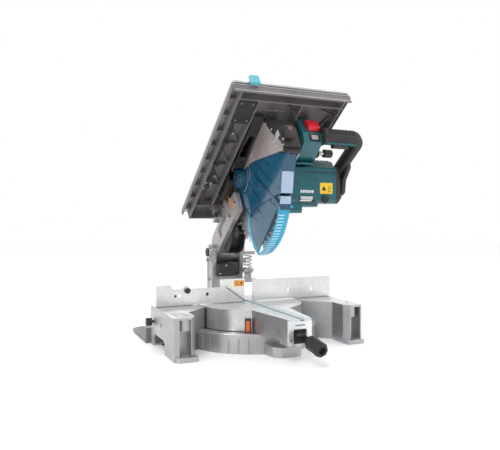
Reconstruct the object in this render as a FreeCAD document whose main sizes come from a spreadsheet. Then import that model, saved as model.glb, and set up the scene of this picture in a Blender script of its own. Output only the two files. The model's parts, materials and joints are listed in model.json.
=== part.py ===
import FreeCAD, Part
import math
import os
import re

# Table-top mitre saw.  Millimetres, +X to the operator's right, -Y towards the operator, +Z up.
# The origin is on the plane that the feet stand on, at the middle of the four bench bolt holes,
# under the turntable's axis.  The head is drawn raised, which is where its spring holds it.

Vector = FreeCAD.Vector

# Driving dimensions.  Every alias is a word of its own in the sheet.
DIMENSIONS = {
    "turn_top": 110.0,        # turntable surface above the bench
    "turn_under": 52.0,       # lower edge of the turntable's skirt
    "turn_radius": 156.0,
    "turn_skin": 8.0,
    "wall": 5.0,
    "arm_reach": 312.0,       # front face of the turntable's arm
    "arm_under": 47.0,
    "base_half": 285.0,       # half width over the side columns
    "column_front": 182.0,
    "wing_rear": 60.0,
    "ring_outer": 196.0,
    "ring_inner": 160.0,
    "ring_top": 50.0,
    "foot_thick": 12.0,
    "bolt_x": 264.0,
    "bolt_y": 165.0,
    "bolt_hole": 4.5,
    "fence_high": 66.0,
    "fence_thick": 8.0,
    "fence_end": 283.0,
    "pivot_y": 200.0,         # head pivot axis
    "pivot_z": 248.0,
    "shaft_radius": 12.0,
    "rest_tilt": 36.0,        # the head rests this far above level
    "hinge_radius": 12.0,     # bevel hinge pin
    "saw_y": -56.0,           # blade axis, head raised
    "saw_z": 432.0,
    "blade_radius": 152.5,
    "blade_half": 1.0,
    "case_half": 24.0,
    "cover_left": 58.0,
    "guard_half": 15.5,
    "guard_radius": 181.0,
    "guard_skin": 2.0,
    "clear_half": 19.0,
    "gear_module": 1.75,
    "gear_teeth": 36.0,
    "pinion_teeth": 12.0,
    "motor_start": 66.0,
    "motor_end": 222.0,
    "cap_end": 246.0,
    "motor_radius": 54.0,
    "neck_left": 64.0,
    "neck_right": 120.0,
    "table_left": 147.0,
    "table_right": 200.0,
    "table_front": 413.0,
    "table_rear": 132.0,
    "table_top": 367.0,       # table surface with the head lowered until the table is level
    "table_thick": 6.0,
    "rib_deep": 28.0,
    "rib_thick": 4.0,
    "post_x": 52.0,
    "post_y": 75.0,
    "post_radius": 9.0,
    "run_gap": 0.05,          # radial gap of a running fit
    "free_gap": 0.4,          # gap between other surfaces that pass each other
}

DOC = FreeCAD.newDocument("mitre_saw")
SHEET = DOC.addObject("Spreadsheet::Sheet", "Sizes")
for row, (alias, amount) in enumerate(DIMENSIONS.items(), start=1):
    SHEET.set("A%d" % row, alias)
    SHEET.set("B%d" % row, str(amount))
    SHEET.setAlias("B%d" % row, alias)
DOC.recompute()


def size(alias):
    """The value that the sheet holds under an alias."""
    return float(SHEET.get(alias))


def bound(text):
    """An expression in the sheet's aliases, written as FreeCAD reads it from another object."""
    return re.sub(r"[a-z]+(_[a-z]+)+|wall", lambda word: "Sizes." + word.group(0), str(text))


# ---------------------------------------------------------------- outlines for the sketches

def circle(across, up, radius):
    return [Part.Circle(Vector(across, up, 0), Vector(0, 0, 1), radius)]


def outline(corners):
    """A closed outline.  A corner is (across, up), or (across, up, radius) to round it."""
    count = len(corners)
    ends = []
    edges = []
    for index in range(count):
        here = Vector(corners[index][0], corners[index][1], 0)
        before = Vector(corners[index - 1][0], corners[index - 1][1], 0)
        after_corner = corners[(index + 1) % count]
        after = Vector(after_corner[0], after_corner[1], 0)
        radius = corners[index][2] if len(corners[index]) > 2 else 0
        if radius == 0:
            ends.append((here, here))
            continue
        back = (before - here).normalize()
        forth = (after - here).normalize()
        half = back.getAngle(forth) / 2
        reach = radius / math.tan(half)
        start = here + back * reach
        finish = here + forth * reach
        centre = here + (back + forth).normalize() * (radius / math.sin(half))
        middle = centre + (here - centre).normalize() * radius
        edges.append(Part.Arc(start, middle, finish))
        ends.append((start, finish))
    for index in range(count):
        start = ends[index][1]
        finish = ends[(index + 1) % count][0]
        if start.distanceToPoint(finish) > 1e-6:
            edges.append(Part.LineSegment(start, finish))
    return edges


def box_outline(left, low, right, high, radius=0):
    return outline([(left, low, radius), (right, low, radius), (right, high, radius), (left, high, radius)])


def sector(across, up, inner, outer, start_deg, end_deg):
    """A piece of a ring between two angles, measured anticlockwise from the sketch's first axis."""
    def at(radius, angle):
        turn = math.radians(angle)
        return Vector(across + radius * math.cos(turn), up + radius * math.sin(turn), 0)
    middle = (start_deg + end_deg) / 2
    return [
        Part.Arc(at(outer, start_deg), at(outer, middle), at(outer, end_deg)),
        Part.LineSegment(at(outer, end_deg), at(inner, end_deg)),
        Part.Arc(at(inner, end_deg), at(inner, middle), at(inner, start_deg)),
        Part.LineSegment(at(inner, start_deg), at(outer, start_deg)),
    ]


def gear_outline(teeth, module, twist_deg):
    """Straight-sided teeth that taper to the tip, with backlash, closed by straight roots."""
    pitch = teeth * module / 2
    step = 360.0 / teeth
    points = []
    for tooth in range(int(teeth)):
        centre = tooth * step + twist_deg
        for share, radius in ((-0.34, pitch - 1.2 * module), (-0.13, pitch + 0.9 * module),
                              (0.13, pitch + 0.9 * module), (0.34, pitch - 1.2 * module)):
            turn = math.radians(centre + share * step)
            points.append((radius * math.cos(turn), radius * math.sin(turn)))
    return outline(points)


# ---------------------------------------------------------------- PartDesign helpers

# Which way the sketch plane's normal points along the world axis it is square to.
NORMAL_SIGN = {"XY_Plane": 1, "XZ_Plane": -1, "YZ_Plane": 1}


def new_body(label, place=None):
    body = DOC.addObject("PartDesign::Body", label)
    body.Label = label
    if place is not None:
        body.Placement = place
    return body


def sketch_at(body, plane, level, shapes):
    """A sketch on one of the body's own origin planes, moved to a level along the world axis."""
    sketch = body.newObject("Sketcher::SketchObject", body.Name + "_sketch")
    support = [item for item in body.Origin.OriginFeatures if item.Role == plane][0]
    sketch.AttachmentSupport = [(support, "")]
    sketch.MapMode = "FlatFace"
    offset = bound(level) if NORMAL_SIGN[plane] > 0 else "-(%s)" % bound(level)
    sketch.setExpression("AttachmentOffset.Base.z", offset)
    for shape in shapes:
        sketch.addGeometry(shape, False)
    return sketch


def pad(body, plane, low, high, *shapes):
    """Add material between two levels along the axis that is square to the plane."""
    start = low if NORMAL_SIGN[plane] > 0 else high
    sketch = sketch_at(body, plane, start, shapes)
    feature = body.newObject("PartDesign::Pad", body.Name + "_pad")
    feature.Profile = sketch
    feature.setExpression("Length", "(%s) - (%s)" % (bound(high), bound(low)))
    return feature


def pocket(body, plane, low, high, *shapes):
    """Take material away between two levels along the axis that is square to the plane."""
    start = high if NORMAL_SIGN[plane] > 0 else low
    sketch = sketch_at(body, plane, start, shapes)
    feature = body.newObject("PartDesign::Pocket", body.Name + "_pocket")
    feature.Profile = sketch
    feature.setExpression("Length", "(%s) - (%s)" % (bound(high), bound(low)))
    return feature


def revolve(body, corners):
    """A turned solid about the body's own X axis.  Corners are (along, radius)."""
    sketch = sketch_at(body, "XY_Plane", 0, [outline(corners)])
    feature = body.newObject("PartDesign::Revolution", body.Name + "_turned")
    feature.Profile = sketch
    feature.ReferenceAxis = (sketch, ["H_Axis"])
    feature.Angle = 360
    return feature


def turned(label, corners, base, direction=Vector(1, 0, 0)):
    """A turned piece whose X axis is laid along a direction through a point."""
    turn = FreeCAD.Rotation(Vector(1, 0, 0), direction)
    body = new_body(label, FreeCAD.Placement(base, turn))
    revolve(body, corners)
    return body


def from_parts(label, shapes):
    """A node whose solids are made with Part's own functions."""
    node = DOC.addObject("Part::Feature", label)
    node.Label = label
    node.Shape = shapes[0] if len(shapes) == 1 else Part.makeCompound(shapes)
    return node


# ---------------------------------------------------------------- the head's two attitudes

PIVOT_Y = size("pivot_y")
PIVOT_Z = size("pivot_z")
TILT = math.radians(size("rest_tilt"))
LEVEL = FreeCAD.Placement(Vector(0, 0, 0), FreeCAD.Rotation(Vector(1, 0, 0), -size("rest_tilt")),
                          Vector(0, PIVOT_Y, PIVOT_Z))


def raised(corners):
    """Corners given with the head level, turned up about its pivot to where it rests."""
    moved = []
    for corner in corners:
        back = corner[0] - PIVOT_Y
        high = corner[1] - PIVOT_Z
        across = PIVOT_Y + back * math.cos(TILT) + high * math.sin(TILT)
        up = PIVOT_Z - back * math.sin(TILT) + high * math.cos(TILT)
        moved.append((across, up) + tuple(corner[2:]))
    return moved


SAW = (size("saw_y"), size("saw_z"))
CENTRES = size("gear_module") * (size("gear_teeth") + size("pinion_teeth")) / 2
GEAR_LINE = math.radians(131)
MOTOR = (SAW[0] + CENTRES * math.cos(GEAR_LINE), SAW[1] + CENTRES * math.sin(GEAR_LINE))


# ---------------------------------------------------------------- base

SIDES = (-1, 1)


def mirrored(side, corners):
    return [(side * corner[0],) + tuple(corner[1:]) for corner in corners]


def base_casting():
    """Two side columns and a low ring in one casting, hollow from below."""
    body = new_body("base_casting")
    front = size("column_front")
    half = size("base_half")
    rear = size("wing_rear")
    skin = 6
    pad(body, "XY_Plane", 0, "ring_top", circle(0, 0, size("ring_outer")))
    for side in SIDES:
        corner = half if side < 0 else half - 9
        plan = [(110, rear), (half, rear, 4), (half, -100), (corner, -front, 3), (237, -front, 2), (224, -163, 3),
                (224, -107, 8), (150, -36, 12), (110, -36)]
        pad(body, "XY_Plane", 0, "turn_top", outline(mirrored(side, plan)))
    pocket(body, "XY_Plane", 14, "turn_top", circle(0, 0, size("ring_inner")))
    pad(body, "XY_Plane", 14, "turn_under - 9", circle(0, 0, 26))
    pocket(body, "XY_Plane", 0, 44, circle(0, 0, 8))
    for side in SIDES:
        hollow = [(200, rear - skin), (half - skin, rear - skin), (half - skin, -98), (232, -98),
                  (204, -64)]
        pocket(body, "XY_Plane", 0, "turn_top - 7", outline(mirrored(side, hollow)))
        recess = mirrored(side, [(239, 12), (corner - 6, 12), (corner - 6, 104), (239, 104)])
        pocket(body, "XZ_Plane", "-column_front - 1", -146, outline(recess))
        pad(body, "XY_Plane", 75, 104, circle(side * (corner - 27), -155, 20))
        arch = outline([(-98, -1), (26, -1), (26, 26, 8), (8, 36, 8), (-84, 36, 8), (-98, 26, 8)])
        near = -290 if side < 0 else 270
        pocket(body, "YZ_Plane", near, near + 20, arch)
        pocket(body, "YZ_Plane", near, near + 20, circle(25, 68, 4))
        pocket(body, "YZ_Plane", near, near + 20, box_outline(-66, 66, -56, 76))
        foot = mirrored(side, [(222, -194, 8), (corner + 4, -194, 8), (corner + 4, -112), (222, -112)])
        pad(body, "XY_Plane", 0, "foot_thick", outline(foot))
        pocket(body, "XY_Plane", -1, 13, circle(side * size("bolt_x"), -size("bolt_y"), size("bolt_hole")))
    tongue = [(-44, -180), (-36, -232, 10), (-18, -250, 8), (36, -250, 8), (48, -232, 8), (50, -180)]
    pad(body, "XY_Plane", 0, 26, outline(tongue))
    pocket(body, "XY_Plane", 0, 26, circle(12, -226, 5))
    return body


def base_grooves(body):
    """Upright grooves around the front of the ring's outer face."""
    for turn in (206, 214, 222, 230, 238, 246, 300, 308, 316):
        angle = math.radians(turn)
        radius = size("ring_outer")
        groove = circle(radius * math.cos(angle), radius * math.sin(angle), 2.2)
        pocket(body, "XY_Plane", -1, 40, groove)


def rear_feet():
    """Flat bars behind the columns that keep the saw from tipping back."""
    rear = size("wing_rear")
    bar = [(rear, 0), (rear, 44, 3), (rear + 48, 41, 30), (rear + 118, 26, 40), (236, 12, 5), (236, 0)]
    shapes = []
    for side in SIDES:
        low = -298 if side < 0 else 246
        edges = [edge.toShape() for edge in outline(bar)]
        face = Part.Face(Part.Wire(Part.sortEdges(edges)[0]))
        turn = FreeCAD.Matrix(0, 0, 1, low, 1, 0, 0, 0, 0, 1, 0, 0)
        solid = face.transformGeometry(turn).extrude(Vector(52, 0, 0))
        hole = Part.makeCylinder(size("bolt_hole"), 60, Vector(side * size("bolt_x"), size("bolt_y"), -1))
        shapes.append(solid.cut(hole))
    from_parts("rear_feet", shapes)


def mitre_scale():
    """A bright scale plate let on to the top of the ring, each side of the arm's travel."""
    body = new_body("mitre_scale")
    pad(body, "XY_Plane", "ring_top", "ring_top + 1.2", sector(0, 0, 164, 190, 216, 324))


def turntable_bolt():
    corners = [(8, 0), (8, 7.95), (62.4, 7.95), (62.4, 13), (70, 13), (70, 0)]
    turned("turntable_bolt", corners, Vector(0, 0, 0), Vector(0, 0, 1))


def holder_knobs():
    """Clamp screws for side supports, one through each column's outer wall."""
    shapes = []
    for side in SIDES:
        wall = side * size("base_half")
        stem = Part.makeCylinder(4, 20, Vector(wall - side * 8, 25, 68), Vector(side, 0, 0))
        knob = Part.makeCylinder(11, 16, Vector(wall + side * 5, 25, 68), Vector(side, 0, 0))
        grips = [Part.makeCylinder(2.5, 16, Vector(wall + side * 5, 25 + 11 * math.cos(turn),
                                                   68 + 11 * math.sin(turn)), Vector(side, 0, 0))
                 for turn in [step * math.pi / 4 for step in range(8)]]
        shapes.append(stem.fuse(knob).cut(Part.makeCompound(grips)).removeSplitter())
    from_parts("holder_knobs", shapes)


# ---------------------------------------------------------------- fences

FENCE_HOLES = (133, 215)
FENCE_HOLE_UP = 139
SUB_PIVOT = (-193, 153)


def fence_foot(body, side):
    """The foot that bolts the fence to the column, with two ribs behind the face."""
    thick = size("fence_thick")
    plan = mirrored(side, [(174, thick - 1), (283, thick - 1), (283, 48, 8), (174, 48, 8)])
    pad(body, "XY_Plane", "turn_top", "turn_top + 8", outline(plan))
    for place in (200, 260):
        pocket(body, "XY_Plane", "turn_top", "turn_top + 8", circle(side * place, 32, 4))


def fence_right():
    body = new_body("fence_right")
    low = size("turn_top") + 2
    top = size("turn_top") + size("fence_high")
    end = size("fence_end")
    face = [(8, low), (end, low), (end, top, 6), (8, top, 6)]
    pad(body, "XZ_Plane", 0, "fence_thick", outline(face))
    fence_foot(body, 1)
    for place in (186, 272):
        rib = outline([(7, low + 4), (42, low + 4), (7, top - 8)])
        pad(body, "YZ_Plane", place, place + 6, rib)
    pocket(body, "XY_Plane", "turn_top", "turn_top + 80", outline([(7, 0), (7, 9), (21, 9)]))
    for place in FENCE_HOLES:
        pocket(body, "XZ_Plane", -1, 9, circle(place, FENCE_HOLE_UP, 4.5))


def fence_left():
    """Lower than the right fence, with a sloping end that a tilted blade passes over."""
    body = new_body("fence_left")
    low = size("turn_top") + 2
    end = -size("fence_end")
    face = [(end, low), (-10, low), (-75, 158, 4), (-234, 158, 6), (-240, 171, 5), (end, 171, 6)]
    pad(body, "XZ_Plane", 0, "fence_thick", outline(face))
    fence_foot(body, -1)
    pad(body, "YZ_Plane", -280, -274, outline([(7, low + 4), (42, low + 4), (7, low + 24)]))
    for place in FENCE_HOLES:
        pocket(body, "XZ_Plane", -1, 9, circle(-place, FENCE_HOLE_UP, 4.5))
    pocket(body, "XZ_Plane", -1, 9, circle(SUB_PIVOT[0], SUB_PIVOT[1], 6))


def fence_bolts():
    shapes = []
    top = size("turn_top")
    for side in SIDES:
        for place in (200, 260):
            foot = Vector(side * place, 32, top)
            stem = Part.makeCylinder(4, 8, foot)
            head = Part.makeCylinder(6.5, 8, foot + Vector(0, 0, 8))
            socket = Part.makeCylinder(3.3, 5, foot + Vector(0, 0, 11))
            shapes.append(stem.fuse(head).cut(socket))
    from_parts("fence_bolts", shapes)


def sub_fence():
    """Fills the gap beside the blade, and flips out of the way about its pivot."""
    body = new_body("sub_fence")
    pivot_x, pivot_z = SUB_PIVOT
    face = [(pivot_x, pivot_z + 2), (pivot_x, pivot_z - 24, 10), (-100, pivot_z - 24),
            (-88, 111.2), (-8, 111.2), (-8, 179, 3), (-88, 179, 3), (-88, pivot_z + 2)]
    pad(body, "XZ_Plane", "fence_thick + free_gap", "fence_thick + free_gap + 6", outline(face))
    pad(body, "XZ_Plane", "fence_thick + free_gap", "fence_thick + free_gap + 6",
        circle(pivot_x, pivot_z, 13))
    pocket(body, "XZ_Plane", "fence_thick", "fence_thick + 9", circle(pivot_x, pivot_z, 6))
    pocket(body, "XY_Plane", "turn_top", "turn_top + 80",
           outline([(-7, 8), (-7, 15), (-18, 15), (-10.5, 8)]))


def sub_fence_pivot():
    corners = [(-9, 0), (-9, 8, 2), (0, 8), (0, 5.95), (15, 5.95), (15, 9), (20, 9), (20, 0)]
    pivot_x, pivot_z = SUB_PIVOT
    turned("sub_fence_pivot", corners, Vector(pivot_x, 0, pivot_z), Vector(0, 1, 0))


# ---------------------------------------------------------------- turntable

def turntable():
    """A hollow disc and arm, slotted for the blade, with the bevel hinge's block behind."""
    body = new_body("turntable")
    radius = size("turn_radius")
    reach = size("arm_reach")
    wall = size("wall")
    inner_top = "turn_top - turn_skin"
    pad(body, "XY_Plane", "turn_under", "turn_top", circle(0, 0, radius))
    arm = [(-60, -120), (-33, -reach, 6), (33, -reach, 6), (60, -120)]
    pad(body, "XY_Plane", "turn_under + 1.5", "turn_top", outline(arm))
    pad(body, "XY_Plane", "arm_under - 3", "turn_top",
        outline([(-33.6, -reach + 44), (-33, -reach, 6), (33, -reach, 6), (33.6, -reach + 44)]))
    pocket(body, "XY_Plane", "arm_under - 8", inner_top, circle(0, 0, radius - wall))
    hollow = [(-50, -130), (-28, -reach + wall), (28, -reach + wall), (50, -130)]
    pocket(body, "XY_Plane", "arm_under - 8", inner_top, outline(hollow))
    pad(body, "XY_Plane", "turn_under - 8", inner_top, circle(0, 0, 24))
    pocket(body, "XY_Plane", "turn_under - 9", inner_top, circle(0, 0, 8))
    pocket(body, "XY_Plane", "turn_under + 10", inner_top, circle(0, 0, 15))
    pocket(body, "XZ_Plane", -reach - 1, -reach + 8, outline([(-18, 40), (18, 40), (18, 85, 4), (-18, 85, 4)]))
    pad(body, "XZ_Plane", 140, 172, outline([(-42, 54), (42, 54), (42, 126, 14), (-42, 126, 14)]))
    pocket(body, "XZ_Plane", 150, 173, circle(0, size("turn_top"), 12))
    recess = outline([(-26, -322), (28, -322), (28, 30), (-26, 30)])
    pocket(body, "XY_Plane", "turn_top - 4", "turn_top + 1", recess)
    slot = outline([(-8, -235), (15, -235), (15, 16), (-8, 16)])
    pocket(body, "XY_Plane", "turn_top - 9", "turn_top", slot)
    pocket(body, "XZ_Plane", -reach - 1, -reach + 60, circle(16, 60.5, 9.6))


def kerf_boards():
    """Two strips let into the turntable, which leave a slot that the blade runs in."""
    shapes = []
    top = size("turn_top")
    for left, right in ((-26, -3), (8, 28)):
        board = Part.makeBox(right - left, 350, 4, Vector(left, -320, top - 4))
        for place in (-290, -190, -90, 6):
            board = board.cut(Part.makeCylinder(4, 2, Vector((left + right) / 2, place, top - 2)))
        shapes.append(board)
    from_parts("kerf_boards", shapes)


def mitre_pointer():
    """An upright finger on the disc's wall that points at the scale."""
    place = FreeCAD.Placement(Vector(0, 0, 0), FreeCAD.Rotation(Vector(0, 0, 1), -25))
    body = new_body("mitre_pointer", place)
    front = -size("turn_radius")
    pad(body, "XZ_Plane", front - 6, front, outline([(-8, 54), (8, 54), (8, 86, 5), (-8, 86, 5)]))
    pad(body, "XZ_Plane", front - 11, front - 6, outline([(-5, 54), (5, 54), (5, 82, 3), (-5, 82, 3)]))


def hinge_pin():
    corners = [(150, 0), (150, 11.8), (234.5, 11.8), (234.5, 17, 1), (240, 17, 2), (240, 8), (255, 8), (255, 0)]
    turned("bevel_hinge_pin", corners, Vector(0, 0, size("turn_top")), Vector(0, 1, 0))


GRIP_AXIS = Vector(0, -0.985, -0.174)


def mitre_grip():
    """Turned to clamp the turntable: a spindle under the arm with an eight-sided grip."""
    start = Vector(16, -300, 62)
    corners = [(-60, 0), (-60, 7, 1), (28, 7), (30, 10), (34, 17, 3), (44, 19), (84, 19, 3), (92, 15, 3),
               (92, 11), (86, 9), (86, 0)]
    turned("mitre_grip", corners, start, GRIP_AXIS)


def mitre_lock_lever():
    """A thumb lever in the arm's mouth that lifts the index pawl, returned by its own spring."""
    body = new_body("mitre_lock_lever")
    reach = size("arm_reach")
    lever = [(-reach + 18, 64, 3), (-reach - 22, 72, 3), (-reach - 24, 78, 2), (-reach + 18, 76, 4)]
    pad(body, "YZ_Plane", -14, 2, outline(lever))


# ---------------------------------------------------------------- bevel arm

def bevel_bracket():
    """Swings on the bevel pin and carries the head between its two ears."""
    body = new_body("bevel_bracket")
    top = size("turn_top")
    pad(body, "XZ_Plane", 173, 228, circle(0, top, 36))
    yoke = [(-53, 104, 8), (53, 104, 8), (53, 172, 6), (-53, 172, 6)]
    pad(body, "XZ_Plane", 178, 224, outline(yoke))
    pad(body, "XZ_Plane", 196, 224, outline([(-41, 170), (41, 170), (41, 214, 4), (-41, 214, 4)]))
    ear = [(178, 110), (224, 110), (231, 200, 30), (228, 274, 27), (172, 274, 27), (170, 200, 20)]
    for low in (-53, 41):
        pad(body, "YZ_Plane", low, low + 12, outline(ear))
    pad(body, "XY_Plane", 152, 164, outline([(41, 122, 8), (84, 122, 8), (84, 200), (41, 200)]))
    pocket(body, "XZ_Plane", 172, 229, circle(0, top, 12.05))
    pocket(body, "YZ_Plane", -54, 54, circle(PIVOT_Y, PIVOT_Z, size("shaft_radius")))
    pocket(body, "YZ_Plane", 40, 54, circle(214, 214, 4.05))
    pocket(body, "XZ_Plane", 190, 225, outline([(-30, 152, 4), (30, 152, 4), (30, 173), (-30, 173)]))


def bevel_scale():
    """A curved plate on the bracket's left that the bevel clamp slides in."""
    body = new_body("bevel_scale")
    pad(body, "XZ_Plane", 228, 234, sector(0, size("turn_top"), 44, 62, 40, 150))


def stop_box():
    """The black housing on the bracket's left ear that holds the bevel stops."""
    body = new_body("stop_box")
    pad(body, "XZ_Plane", 150, 177.6, outline([(-41, 172, 3), (21, 172, 3), (21, 212, 3), (-41, 212, 3)]))


def stop_bolts():
    """Adjusting bolts through the left ear."""
    shapes = []
    for place, high in ((184, 222), (216, 222), (206, 160)):
        foot = Vector(-53, place, high)
        head = Part.makeCylinder(5.5, 6, foot, Vector(-1, 0, 0))
        flats = Part.makeCylinder(3, 3, foot + Vector(-3.5, 0, 0), Vector(-1, 0, 0))
        shapes.append(head.cut(flats))
    from_parts("stop_bolts", shapes)


def pivot_shaft():
    corners = [(-60, 0), (-60, 18, 2), (-53, 18), (-53, 12), (53, 12), (53, 17, 2), (61, 17, 2), (61, 0)]
    turned("pivot_shaft", corners, Vector(0, PIVOT_Y, PIVOT_Z), Vector(1, 0, 0))


SPRING_AT = (60, 146)


def spring_seat():
    corners = [(164, 0), (164, 12), (180, 12), (184, 19), (196, 19), (196, 15.5), (190, 15.5), (190, 0)]
    turned("spring_seat", corners, Vector(SPRING_AT[0], SPRING_AT[1], 0), Vector(0, 0, 1))


def return_spring():
    """The coil that lifts the head, between its seat and the arm's lug."""
    low = 192.0
    wire = 2.2
    turns = 4.5
    length = 47.2
    helix = Part.makeHelix(length / turns, length, 13)
    start = Vector(13, 0, 0)
    section = Part.Wire([Part.Circle(start, Vector(0, 1, 0), wire).toShape()])
    coil = Part.Wire(helix.Edges).makePipeShell([section], True, True)
    coil.translate(Vector(SPRING_AT[0], SPRING_AT[1], low))
    from_parts("return_spring", [coil])


def bevel_lever():
    """Behind the bracket: clamps the bevel angle."""
    body = new_body("bevel_lever")
    corner = [(-8, 56), (8, 56), (10, 100, 4), (12, 128, 10), (-12, 128, 10), (-10, 100, 4)]
    pad(body, "XZ_Plane", 240.5, 252, outline(corner))
    pocket(body, "XZ_Plane", 240, 253, circle(0, size("turn_top"), 8.05))


def stop_pin():
    """Pulled out to free the lowered head, pushed in to lock it: a pin through the right ear."""
    corners = [(42, 0), (42, 4), (66, 4), (66, 9, 2), (82, 9, 2), (82, 0)]
    turned("stop_pin", corners, Vector(0, 214, 214), Vector(1, 0, 0))


# ---------------------------------------------------------------- head: castings and covers

def head_arm():
    """Two cheeks from the pivot to the saw, with a web between them behind the blade."""
    body = new_body("head_arm", LEVEL)
    inner = 24
    outer = 37.6
    pad(body, "YZ_Plane", -40.6, 40.6, circle(PIVOT_Y, PIVOT_Z, 26))
    cheek = [(206, 224), (140, 230), (-50, 238, 8), (-60, 300, 12), (14, 306), (18, 336, 4),
             (83, 318), (113, 304, 20), (186, 298, 16), (214, 276, 14), (222, 240)]
    for low in (-outer, inner):
        pad(body, "YZ_Plane", low, low + outer - inner, outline(cheek))
    web = [(60, 262), (60, 321), (83, 314), (120, 300), (178, 294), (178, 228), (120, 234)]
    pad(body, "YZ_Plane", -inner, inner, outline(web))
    lug = level_corners([(130, 242), (157, 242), (157, 252), (130, 252)])
    pad(body, "YZ_Plane", 36, 78, outline(lug))
    gusset = level_corners([(130, 242), (178, 242), (152, 270), (130, 270)])
    pad(body, "YZ_Plane", inner, 41, outline(gusset))
    pocket(body, "YZ_Plane", -42, 42, circle(PIVOT_Y, PIVOT_Z, 12.05))
    relief = [(128, 250, 6), (128, 286, 6), (52, 296, 6), (52, 250, 6)]
    pocket(body, "YZ_Plane", -outer - 1, -outer + 6, outline(relief))


def level_corners(corners):
    """Corners given with the head raised, as they lie once the head is level."""
    moved = []
    for across, up in corners:
        back = across - PIVOT_Y
        high = up - PIVOT_Z
        moved.append((PIVOT_Y + back * math.cos(TILT) - high * math.sin(TILT),
                      PIVOT_Z + back * math.sin(TILT) + high * math.cos(TILT)))
    return moved


HUB = (-5, 477)


def blade_case():
    """Metal case over the top of the blade, open below, with a slot in its top for the blade."""
    body = new_body("blade_case", LEVEL)
    half = size("case_half")
    skin = 3
    left = [(-345, 197, 3), (-346, 232, 8), (-321, 283, 12), (-302, 351, 4), (20, 351, 3), (20, 336),
            (-112, 334), (-176, 311), (-328, 214)]
    right = [(-345, 197, 3), (-346, 232, 8), (-321, 283, 12), (-302, 351, 4), (20, 351, 3), (20, 330),
             (-2, 250, 20), (-60, 196, 20), (-170, 182, 20), (-260, 196)]
    pad(body, "YZ_Plane", -half, -half + skin, outline(left))
    pad(body, "YZ_Plane", half - skin, half, outline(right))
    shell = [(-345, 197), (-346, 232, 8), (-321, 283, 12), (-302, 351, 4), (20, 351), (20, 348),
             (-300, 348, 3), (-318, 282, 10), (-343, 231.5, 7), (-342, 197)]
    pad(body, "YZ_Plane", -half, half, outline(shell))
    pocket(body, "XY_Plane", 340, 352, outline([(-4, -290), (4, -290), (4, 21), (-4, 21)]))
    saw = level_corners([SAW])[0]
    pocket(body, "YZ_Plane", 20, 25, circle(saw[0], saw[1], 27))
    hub = level_corners([HUB])[0]
    pocket(body, "YZ_Plane", -half - 1, -half + skin + 1, circle(hub[0], hub[1], 30))


def upper_cover():
    """Black cover that shields the blade between the case and the table, on the left."""
    body = new_body("upper_cover", LEVEL)
    left = -size("cover_left")
    right = left + 30
    pad(body, "YZ_Plane", left, right, outline([(-322, 353), (12, 353), (12, 313, 8), (-318, 343, 4)]))
    pocket(body, "XY_Plane", 330, 354, outline([(left + 3, -250), (right - 3, -250), (right - 3, 8),
                                               (left + 3, 8)]))
    hub = level_corners([HUB])[0]
    pocket(body, "YZ_Plane", left - 1, right + 1, circle(hub[0], hub[1], 31))


def clear_guard():
    """The fixed clear guard: two side plates joined by a rim in front of the blade."""
    body = new_body("clear_guard")
    half = size("clear_half")
    skin = size("guard_skin")
    left = [(-262, 523, 3), (-229, 532), (-120, 528), (-50, 522), (14, 492, 14), (52, 468, 18), (24, 408, 16),
            (-30, 386), (-60, 386), (-240.6, 424), (-247, 480)]
    right = [(-262, 523), (-120, 528), (-98, 470), (-98, 408), (-240.6, 424), (-247, 480)]
    pad(body, "YZ_Plane", -half, -half + skin, outline(left))
    pad(body, "YZ_Plane", half - skin, half, outline(right))
    rim = [(-262, 523), (-247.5, 480), (-241.6, 424), (-238.6, 424), (-244.5, 480), (-259, 523)]
    pad(body, "YZ_Plane", -half, half, outline(rim))
    hook = [(-256, 508), (-272, 511), (-287, 519, 4), (-280, 526, 3), (-256, 519)]
    pad(body, "YZ_Plane", -half, -half + skin, outline(hook))


def guard_hub():
    corners = [(0, 0), (0, 29), (5, 29, 2), (7, 26), (7, 22), (20, 20, 3), (26, 14, 2), (26, 0)]
    turned("guard_hub", corners, Vector(-size("clear_half"), HUB[0], HUB[1]), Vector(-1, 0, 0))


def nose_cover():
    body = new_body("nose_cover", LEVEL)
    nose = [(-303, 353, 3), (-352, 299, 8), (-366, 262, 8), (-358, 205, 4), (-346, 205), (-347, 233),
            (-322.5, 284), (-304, 350)]
    pad(body, "YZ_Plane", -24, 22, outline(nose))


def laser_unit():
    """Line laser under the nose, with two lens windows below."""
    body = new_body("laser_unit", LEVEL)
    pad(body, "YZ_Plane", -22, 4, outline([(-382, 222, 3), (-382, 256, 3), (-366.2, 256), (-366.2, 222)]))
    for place in (-15, -3):
        pocket(body, "XY_Plane", 221, 225, circle(place, -374, 3.5))


def chip_chute():
    body = new_body("chip_chute", LEVEL)
    shell = [(62, 258), (62, 232, 4), (96, 206, 10), (120, 200, 6), (146, 208, 6), (146, 229), (120, 232.5)]
    pad(body, "YZ_Plane", "-case_half", "case_half", outline(shell))
    inside = [(66, 250), (66, 190), (142, 190), (142, 226), (120, 228)]
    pocket(body, "YZ_Plane", "-case_half + 3", "case_half - 3", outline(inside))


def lift_posts():
    """Guide posts for the table, one on each side of the arm."""
    shapes = []
    for side in SIDES:
        near = 38 if side > 0 else -66
        ear = Part.makeBox(28, 28, 18, Vector(near, 62, 288))
        post = Part.makeCylinder(size("post_radius"), 54,
                                 Vector(side * size("post_x"), size("post_y") + 1, 304))
        shapes.append(ear.fuse(post).removeSplitter())
    node = from_parts("lift_posts", shapes)
    node.Placement = LEVEL


def riving_knife():
    """Thin plate close behind the blade that stands up through the table."""
    body = new_body("riving_knife", LEVEL)
    saw = level_corners([SAW])[0]
    pad(body, "YZ_Plane", -1, 1, sector(saw[0], saw[1], 157, 178, 22, 58))
    pad(body, "YZ_Plane", -1, 1, outline([(34, 286), (60, 286), (60, 312), (34, 318)]))


# ---------------------------------------------------------------- head: drive

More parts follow.
